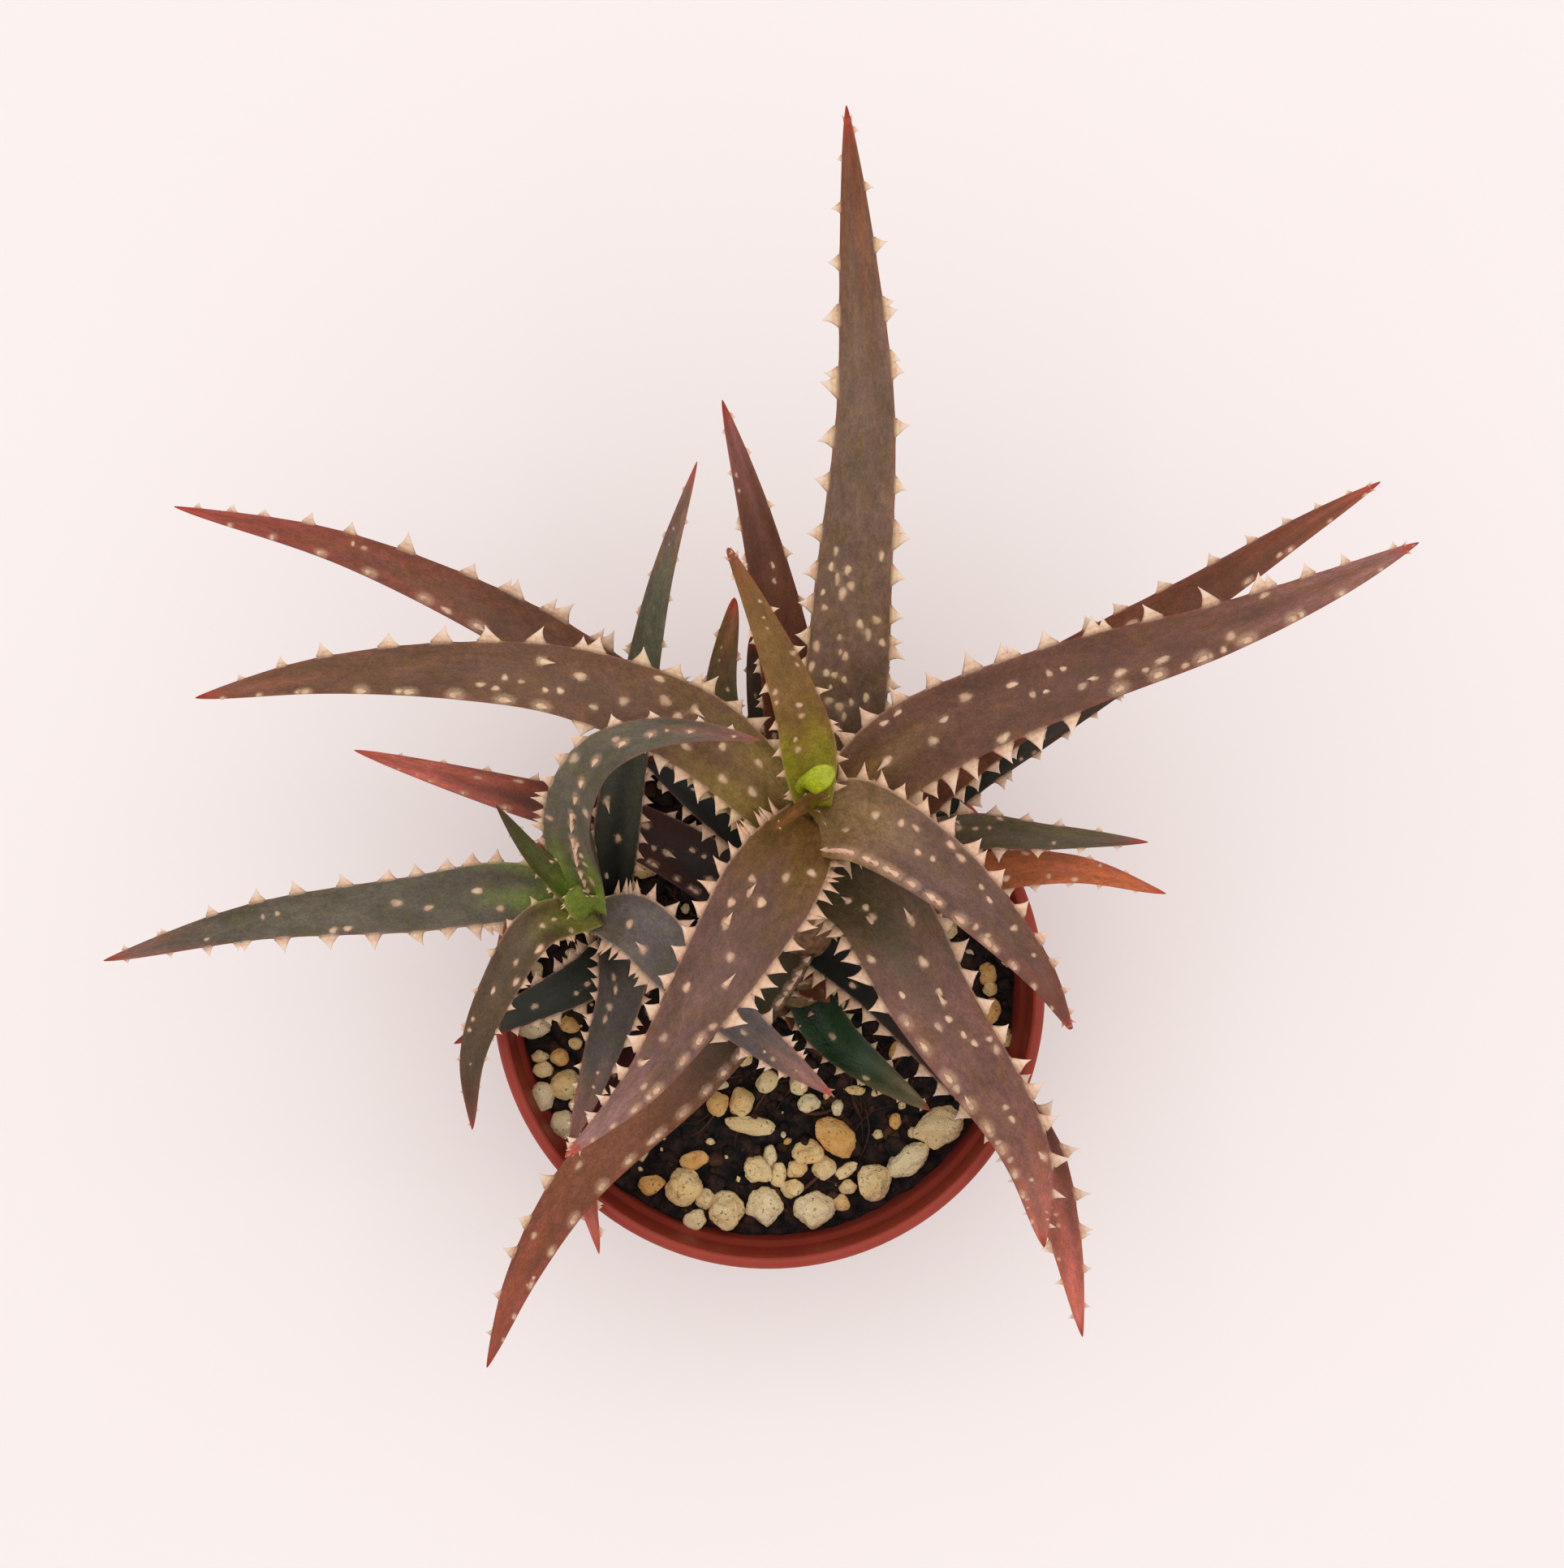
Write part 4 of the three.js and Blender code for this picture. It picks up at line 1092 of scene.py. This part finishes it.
def pot_material():
    """Terracotta moulded plastic with fine turning lines and dust, darker inside towards the soil."""
    paint = Paint("pot_plastic")
    place = paint.place()
    lines = paint.noise(place, (6, 6, 1600), 2)
    cloud = paint.noise(place, (60, 60, 60), 4, 0.6)
    scuffs = paint.noise(place, (400, 400, 130), 5, 0.7)
    colour = paint.laid(rgba((146, 46, 30)), (158, 54, 34), cloud, 0.35, 0.65)
    colour = paint.laid(colour, (188, 104, 76), scuffs, 0.60, 0.78, 0.35)
    level = paint.node("ShaderNodeMapping", "Vector", {"Vector": place, "Scale": (1, 1, 0)})
    radius = paint.node("ShaderNodeVectorMath", "Value", {0: level}, operation="LENGTH")
    height = paint.node("ShaderNodeSeparateXYZ", "Z", {"Vector": place})
    # The inner wall turns darker and greyer, in patches, from under the rim down to the soil
    inside = paint.times(paint.ranged(radius, (MOUTH + 0.3) * MM, (MOUTH - 0.1) * MM),
                         paint.ranged(height, (POT_HEIGHT - 3) * MM, SOIL_LEVEL * MM, 0, 0.7))
    darker_down_inside = paint.times(inside, paint.ranged(scuffs, 0.3, 0.6, 0.35, 1))
    return paint.done({
        "Base Color": paint.mixed(darker_down_inside, colour, rgba((118, 50, 42))),
        "Roughness": paint.ranged(scuffs, 0.35, 0.75, 0.45, 0.68),
        "Normal": paint.bumped(paint.plus(paint.times(lines, 0.6), scuffs), 0.18, 0.25),
        "Specular IOR Level": 0.35})


def soil_material():
    """Moist peat: near black to dark brown."""
    paint = Paint("peat")
    place = paint.place()
    lumps = paint.noise(place, (420, 420, 420), 5, 0.65)
    grit = paint.noise(place, (2600, 2600, 2600), 3, 0.7)
    colour = paint.laid(rgba((8, 8, 10)), (58, 37, 29), lumps, 0.42, 0.64)
    colour = paint.laid(colour, (92, 64, 50), grit, 0.62, 0.8, 0.6)
    return paint.done({
        "Base Color": paint.mixed(paint.attribute("tone"), colour, rgba((96, 62, 44))),
        "Roughness": paint.ranged(grit, 0.3, 0.7, 0.45, 0.9),
        "Normal": paint.bumped(paint.plus(lumps, paint.times(grit, 0.5)), 0.9, 0.8),
        "Specular IOR Level": 0.25})


def pumice_material():
    """Porous grains from chalk white through cream to amber, with dark pits."""
    paint = Paint("pumice")
    place = paint.place()
    cloud = paint.noise(place, (300, 300, 300), 4, 0.6)
    pores = paint.noise(place, (1500, 1500, 1500), 3, 0.6)
    grit = paint.noise(place, (4200, 4200, 4200), 2, 0.6)
    tone = paint.plus(paint.attribute("tone"), paint.ranged(cloud, 0.3, 0.7, -0.25, 0.25))
    colour = paint.laid(rgba((255, 233, 187)), (253, 216, 148), tone, 0, 0.6)
    colour = paint.laid(colour, (240, 176, 92), tone, 0.6, 1.1)
    colour = paint.laid(colour, (196, 152, 104), grit, 0.5, 0.7, 0.35)
    pits = paint.ranged(pores, 0.62, 0.7, 0, 0.7)
    relief = paint.computed("SUBTRACT", paint.times(grit, 0.8), pits)
    return paint.done({
        "Base Color": paint.mixed(pits, colour, rgba((92, 64, 44))),
        "Roughness": 0.85,
        "Normal": paint.bumped(relief, 0.9, 0.6)})


def backdrop_material():
    """Matt pale paper with a faint cloudiness."""
    paint = Paint("pale_floor")
    cloud = paint.noise(paint.place(), (3, 3, 3), 2)
    return paint.done({
        "Base Color": paint.laid(rgba((245, 236, 234)), (247, 239, 237), cloud, 0.3, 0.7),
        "Roughness": 0.9,
        "Specular IOR Level": 0.1})


# Stems

def stem_piece(name, stem):
    """A stem with ring scars, from its foot in the soil to just under the crown of its leaves."""
    bottom, top = stem["foot"][2], stem["top"][2] - STEM_TOP_COVER
    rings = round((top - bottom) / STEM_RING_STEP)
    turns = around(STEM_SIDES)
    points = []
    for i in range(rings + 1):
        centre = stem_point(stem, lerp(bottom, top, i / rings))
        scar = abs((centre[2] / STEM_SCAR_STEP) % 1 - 0.5) * 2
        uneven = (STEM_UNEVEN[0] * np.sin(3 * turns + centre[2] / 3)
                  + STEM_UNEVEN[1] * np.sin(7 * turns - centre[2]))
        radius = lerp(*stem["radius"], i / rings) - STEM_SCAR * scar ** 3 + uneven
        points.append(centre + circle(radius, -turns))
    shape = Shape()
    shape.add(points, tube_faces(rings + 1, STEM_SIDES))
    made = shape.make(name + "_fine", stem_material())
    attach(made, "root")
    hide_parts(name)


def dry_bases_piece(stem):
    """The dry stubs of old leaves round the foot of a stem."""
    shape = Shape()
    for i in range(DRY_BASES):
        at = DRY_BASE_FIRST + i * DRY_BASE_STEP
        heading = DRY_BASE_START + i * DRY_BASE_TURN
        tip = stem_point(stem, at) + (DRY_BASE_REACH * math.cos(heading),
                                      DRY_BASE_REACH * math.sin(heading), DRY_BASE_RISE)
        stub = Leaf(f"dry_base_{i}", at, DRY_BASE_WIDTH, "dry", (tuple(tip),), tooth=0.5, margin=0.2,
                    thickness=0.14, fold=0.3)
        add_blade(shape, Blade(stub, stem))
    made = shape.make("dry_leaf_bases", skin_material("dry"))
    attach(made, "root")


# Pot

def pot_inner(height):
    """The inner radius of the pot's wall at a height above its floor."""
    return BASE_RADIUS + (NECK - BASE_RADIUS) * (height / UNDER_BAND) - WALL


def rounded(corners, steps=5):
    """A line of (radius, height, rounding) corners with an arc in place of each rounded corner."""
    line = []
    for i, (r, z, fillet) in enumerate(corners):
        here = np.array([r, z])
        if not fillet:
            line.append(here)
            continue
        start, end = (here + unit(np.array(corners[j][:2]) - here) * fillet for j in (i - 1, i + 1))
        for t in np.linspace(0, 1, steps):
            line.append(start * (1 - t) ** 2 + here * 2 * t * (1 - t) + end * t * t)
    return line


def pot_outline():
    """The pot's section: under its base, up its outside, over the lip and down its inside."""
    return rounded([
        (POT_CENTRE_DISC, 0, 0), (BASE_RADIUS - 6, 0, 0), (BASE_RADIUS - 5, 0.8, 0.4),
        (BASE_RADIUS - 3, 0.8, 0.4), (BASE_RADIUS - 2.4, 0, 0.3), (BASE_RADIUS, 0, 0.8),
        (lerp(BASE_RADIUS, NECK, 0.5), UNDER_BAND / 2, 0), (NECK, UNDER_BAND, 0.3),
        (RIM_RADIUS - 0.7, UNDER_BAND, 0.4), (RIM_RADIUS - 0.2, POT_HEIGHT - 3.2, 0),
        (RIM_RADIUS, POT_HEIGHT - 0.8, 0.3), (RIM_RADIUS - 0.8, POT_HEIGHT, 0.5),
        (MOUTH + 0.4, POT_HEIGHT, 0.4), (MOUTH, POT_HEIGHT - 0.5, 0.3),
        (MOUTH - 0.25, UNDER_BAND + 4.6, 0), (MOUTH - 0.4, UNDER_BAND + 1.5, 0.4),
        (pot_inner(UNDER_BAND), UNDER_BAND, 0.4), (pot_inner(SOIL_LEVEL), SOIL_LEVEL, 0),
        (pot_inner(FLOOR + 8), FLOOR + 8, 0), (pot_inner(FLOOR), FLOOR, 0.8),
        (POT_CENTRE_DISC, FLOOR, 0)])


def drain_drills(material):
    """Round bars that stand where the pot's drain holes are."""
    shape = Shape()
    for spin in around(DRAIN_HOLES):
        centre = (DRAIN_CIRCLE * math.cos(spin), DRAIN_CIRCLE * math.sin(spin), 0)
        rings = [centre + circle(DRAIN_RADIUS, -around(DRAIN_SIDES), height)
                 for height in (-FLOOR, 2 * FLOOR)]
        shape.add(rings, tube_faces(2, DRAIN_SIDES))
    return shape.make("drills", material)


def pot_piece():
    outline = pot_outline()
    shape = Shape()
    shape.add([circle(r, -around(POT_SIDES), z) for r, z in outline],
              tube_faces(len(outline), POT_SIDES))
    material = pot_material()
    pot = shape.make("pot_fine", material)
    drills = drain_drills(material)
    cut = pot.modifiers.new("drain_holes", "BOOLEAN")
    cut.operation = "DIFFERENCE"
    cut.solver = "EXACT"
    cut.object = drills
    depsgraph = bpy.context.evaluated_depsgraph_get()
    pot.data = bpy.data.meshes.new_from_object(pot.evaluated_get(depsgraph))
    pot.modifiers.clear()
    bpy.data.objects.remove(drills)
    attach(pot, "root")
    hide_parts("pot")


# Soil and what lies on it

SOIL_EDGE = pot_inner(SOIL_LEVEL) - SOIL_EDGE_GAP


def soil_height(x, y):
    """The soil's even surface: lower towards +X, with a slight wave."""
    return SOIL_LEVEL - SOIL_SLOPE * x + SOIL_WAVE * np.sin(x / 7) * np.cos(y / 9)


def lumpy(x, y):
    """The height of the soil's lumps over its even surface."""
    coarse = noise.fractal((x / SOIL_LUMP_SIZE, y / SOIL_LUMP_SIZE, 3.1), 0.9, 2.1, 5)
    clods = noise.turbulence((x / SOIL_CLOD_SIZE, y / SOIL_CLOD_SIZE, 8.7), 3, False)
    return SOIL_LUMP * coarse + SOIL_CLOD * (clods - 0.5)


def soil_piece():
    turns = around(SOIL_SIDES)
    bottom = FLOOR + 0.2
    rings = [circle(r, turns, bottom)
             for r in (SOIL_UNDER_DISC, pot_inner(bottom) - SOIL_EDGE_GAP)]
    for r in np.linspace(SOIL_EDGE, SOIL_TOP_DISC, SOIL_RINGS):
        x, y, _ = circle(r, turns).T
        lumps = np.array([lumpy(*at) for at in zip(x, y)])
        rings.append(circle(r, turns, soil_height(x, y) + lumps))
    shape = Shape()
    shape.add(rings, flipped(tube_faces(len(rings), SOIL_SIDES)), tone=0.0)
    ball, faces = icosphere(2)
    rnd = random.Random(SOIL_SEED)
    for _ in range(CRUMBS):
        x, y = in_disc(rnd, SOIL_EDGE - 1.5)
        size = lerp(*CRUMB_SIZE, rnd.random() ** 3)
        points = pebble(ball, rnd, size, size * rnd.uniform(0.7, 1), rnd.uniform(0, 360), CRUMB_ROUGHNESS)
        z = soil_height(x, y) + lumpy(x, y) + size * 0.2
        shape.add(points + (x, y, z), faces, tone=rnd.random() ** 3 * 0.7)
    for _ in range(FIBRES):
        add_fibre(shape, rnd)
    made = shape.make("soil_fine", soil_material())
    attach(made, "root")
    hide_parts("soil_with_pumice")


def in_disc(rnd, radius):
    angle = rnd.uniform(0, 2 * math.pi)
    r = radius * math.sqrt(rnd.random())
    return r * math.cos(angle), r * math.sin(angle)


def add_fibre(shape, rnd):
    """A thin root or bark fibre that lies over the soil, unless it would reach the pot."""
    x, y = in_disc(rnd, SOIL_EDGE - 9)
    heading = rnd.uniform(0, 2 * math.pi)
    bend = rnd.uniform(-FIBRE_BEND, FIBRE_BEND)
    thick = lerp(*FIBRE_THICKNESS, rnd.random() ** 4)
    reach = rnd.uniform(*FIBRE_LENGTH) / FIBRE_STEPS
    line = []
    for _ in range(FIBRE_STEPS):
        x += reach * math.cos(heading)
        y += reach * math.sin(heading)
        heading += bend + rnd.uniform(-FIBRE_KINK, FIBRE_KINK)
        line.append((x, y, soil_height(x, y) + max(lumpy(x, y), 0) + thick))
    line = np.array(line)
    if np.hypot(line[:, 0], line[:, 1]).max() > SOIL_EDGE - 1:
        return
    along = unit(np.gradient(line, axis=0))
    side = unit(np.cross(along, (0, 0, 1)))
    over = np.cross(side, along)
    turns = around(FIBRE_SIDES)[None, :, None]
    taper = np.sin(np.linspace(FIBRE_TAPER, math.pi - FIBRE_TAPER, FIBRE_STEPS))[:, None, None] * thick
    ring = side[:, None] * np.cos(turns) + over[:, None] * np.sin(turns)
    shape.add(line[:, None] + ring * taper, tube_faces(FIBRE_STEPS, FIBRE_SIDES),
              tone=rnd.uniform(0.2, 0.9))


@cache
def icosphere(level):
    """Points and faces of a unit sphere of triangles."""
    ball = bmesh.new()
    bmesh.ops.create_icosphere(ball, subdivisions=level, radius=1)
    points = np.array([v.co[:] for v in ball.verts])
    faces = [tuple(v.index for v in face.verts) for face in ball.faces]
    ball.free()
    return points, faces


def pebble(ball, rnd, half_length, half_width, turn, rough):
    """An irregular grain: a ball with flattened sides and uneven skin, turned about the upright."""
    points = ball
    for _ in range(7):
        flat = unit(np.array([rnd.uniform(-1, 1) for _ in range(3)]))
        over = np.maximum(points @ flat - rnd.uniform(0.7, 0.92), 0)
        points = points - over[:, None] * flat * 0.8
    shift = rnd.uniform(0, 100)
    bumps = np.array([noise.noise((x * 1.3 + shift, y * 1.3, z * 1.3)) * 1.6
                      + noise.fractal((x * 3.5, y * 3.5 + shift, z * 3.5), 0.7, 2.0, 3) * 0.45
                      for x, y, z in points])
    points = points * (1 + rough * bumps)[:, None]
    points = points * (half_length, half_width, min(half_length, half_width) * rnd.uniform(0.75, 0.95))
    c, s = math.cos(math.radians(turn)), math.sin(math.radians(turn))
    return points @ np.array([[c, s, 0], [-s, c, 0], [0, 0, 1]])


def pumice_grains(rnd):
    """The grains that the photograph shows, and others wherever one still fits."""
    grains = list(SEEN_GRAINS)
    near, right = SEEN_SOIL
    for _ in range(MORE_GRAINS_TRIES):
        if len(grains) == len(SEEN_GRAINS) + MORE_GRAINS:
            break
        x, y = in_disc(rnd, SOIL_EDGE - 3)
        size = lerp(*GRAIN_SIZE, rnd.random() ** 1.5)
        if y < near and x > right:
            size = lerp(*SMALL_GRAIN_SIZE, rnd.random())
        if all(math.hypot(x - g[0], y - g[1]) >= size + max(g[2:4]) for g in grains):
            grains.append((x, y, size, size * rnd.uniform(0.7, 1), rnd.uniform(0, 180),
                           rnd.choice(MORE_GRAINS_TONES)))
    return grains


def pumice_piece():
    rnd = random.Random(GRAIN_SEED)
    shape = Shape()
    for x, y, half_length, half_width, turn, tone in pumice_grains(rnd):
        ball, faces = icosphere(3 + sum(half_length > limit for limit in FINER_GRAINS))
        points = pebble(ball, rnd, half_length, half_width, turn, GRAIN_ROUGHNESS)
        z = soil_height(x, y) + lumpy(x, y) * 0.5 + min(half_length, half_width) * 0.55
        shape.add(points + (x, y, z), faces, tone=tone)
    ball, faces = icosphere(2)
    for _ in range(PERLITE):
        x, y = in_disc(rnd, SOIL_EDGE - 2)
        size = rnd.uniform(*PERLITE_SIZE)
        points = pebble(ball, rnd, size, size * 0.8, rnd.uniform(0, 360), PERLITE_ROUGHNESS)
        z = soil_height(x, y) + lumpy(x, y) + size * 0.4
        shape.add(points + (x, y, z), faces, tone=rnd.choice((CHALK, CREAM, SAND)))
    made = shape.make("pumice_grains", pumice_material())
    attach(made, "root")


# Backdrop, light and camera

def studio():
    """The pale backdrop, an even sky and a large soft lamp above it."""
    corners = np.array([(-1, -1, 0), (1, -1, 0), (1, 1, 0), (-1, 1, 0)]) * BACKDROP_REACH
    shape = Shape()
    shape.add(corners, [(0, 1, 2, 3)])
    floor = shape.make("floor", backdrop_material())
    world = bpy.data.worlds.new("studio")
    world.use_nodes = True
    background = world.node_tree.nodes["Background"]
    background.inputs["Color"].default_value = (1.0, 0.99, 0.985, 1)
    background.inputs["Strength"].default_value = 0.8
    bpy.context.scene.world = world
    light = bpy.data.lights.new("softbox", "AREA")
    light.shape = "RECTANGLE"
    light.size, light.size_y = LAMP_SIZE
    light.energy = 6.2
    light.color = (1.0, 0.985, 0.975)
    lamp = bpy.data.objects.new("softbox", light)
    lamp.location = LAMP_PLACE
    lamp.rotation_euler = LAMP_TILT
    lamp.visible_camera = False
    bpy.context.scene.collection.objects.link(lamp)


def camera():
    data = bpy.data.cameras.new("camera")
    data.sensor_width = SENSOR_WIDTH
    data.lens = SENSOR_WIDTH * FOCAL_PIXELS / IMAGE_LONG_SIDE
    data.clip_start = 0.02
    data.clip_end = 20
    made = bpy.data.objects.new("camera", data)
    made.location = [c * MM for c in CAMERA_PLACE]
    bpy.context.scene.collection.objects.link(made)
    bpy.context.scene.camera = made


for leaf in MAIN_LEAVES:
    leaf_piece(leaf, MAIN_STEM)
for leaf in OFFSET_LEAVES:
    leaf_piece(leaf, OFFSET_STEM)
stem_piece("main_stem", MAIN_STEM)
dry_bases_piece(MAIN_STEM)
stem_piece("offset_stem", OFFSET_STEM)
pot_piece()
soil_piece()
pumice_piece()
studio()
camera()
bpy.context.scene.view_settings.view_transform = "Standard"
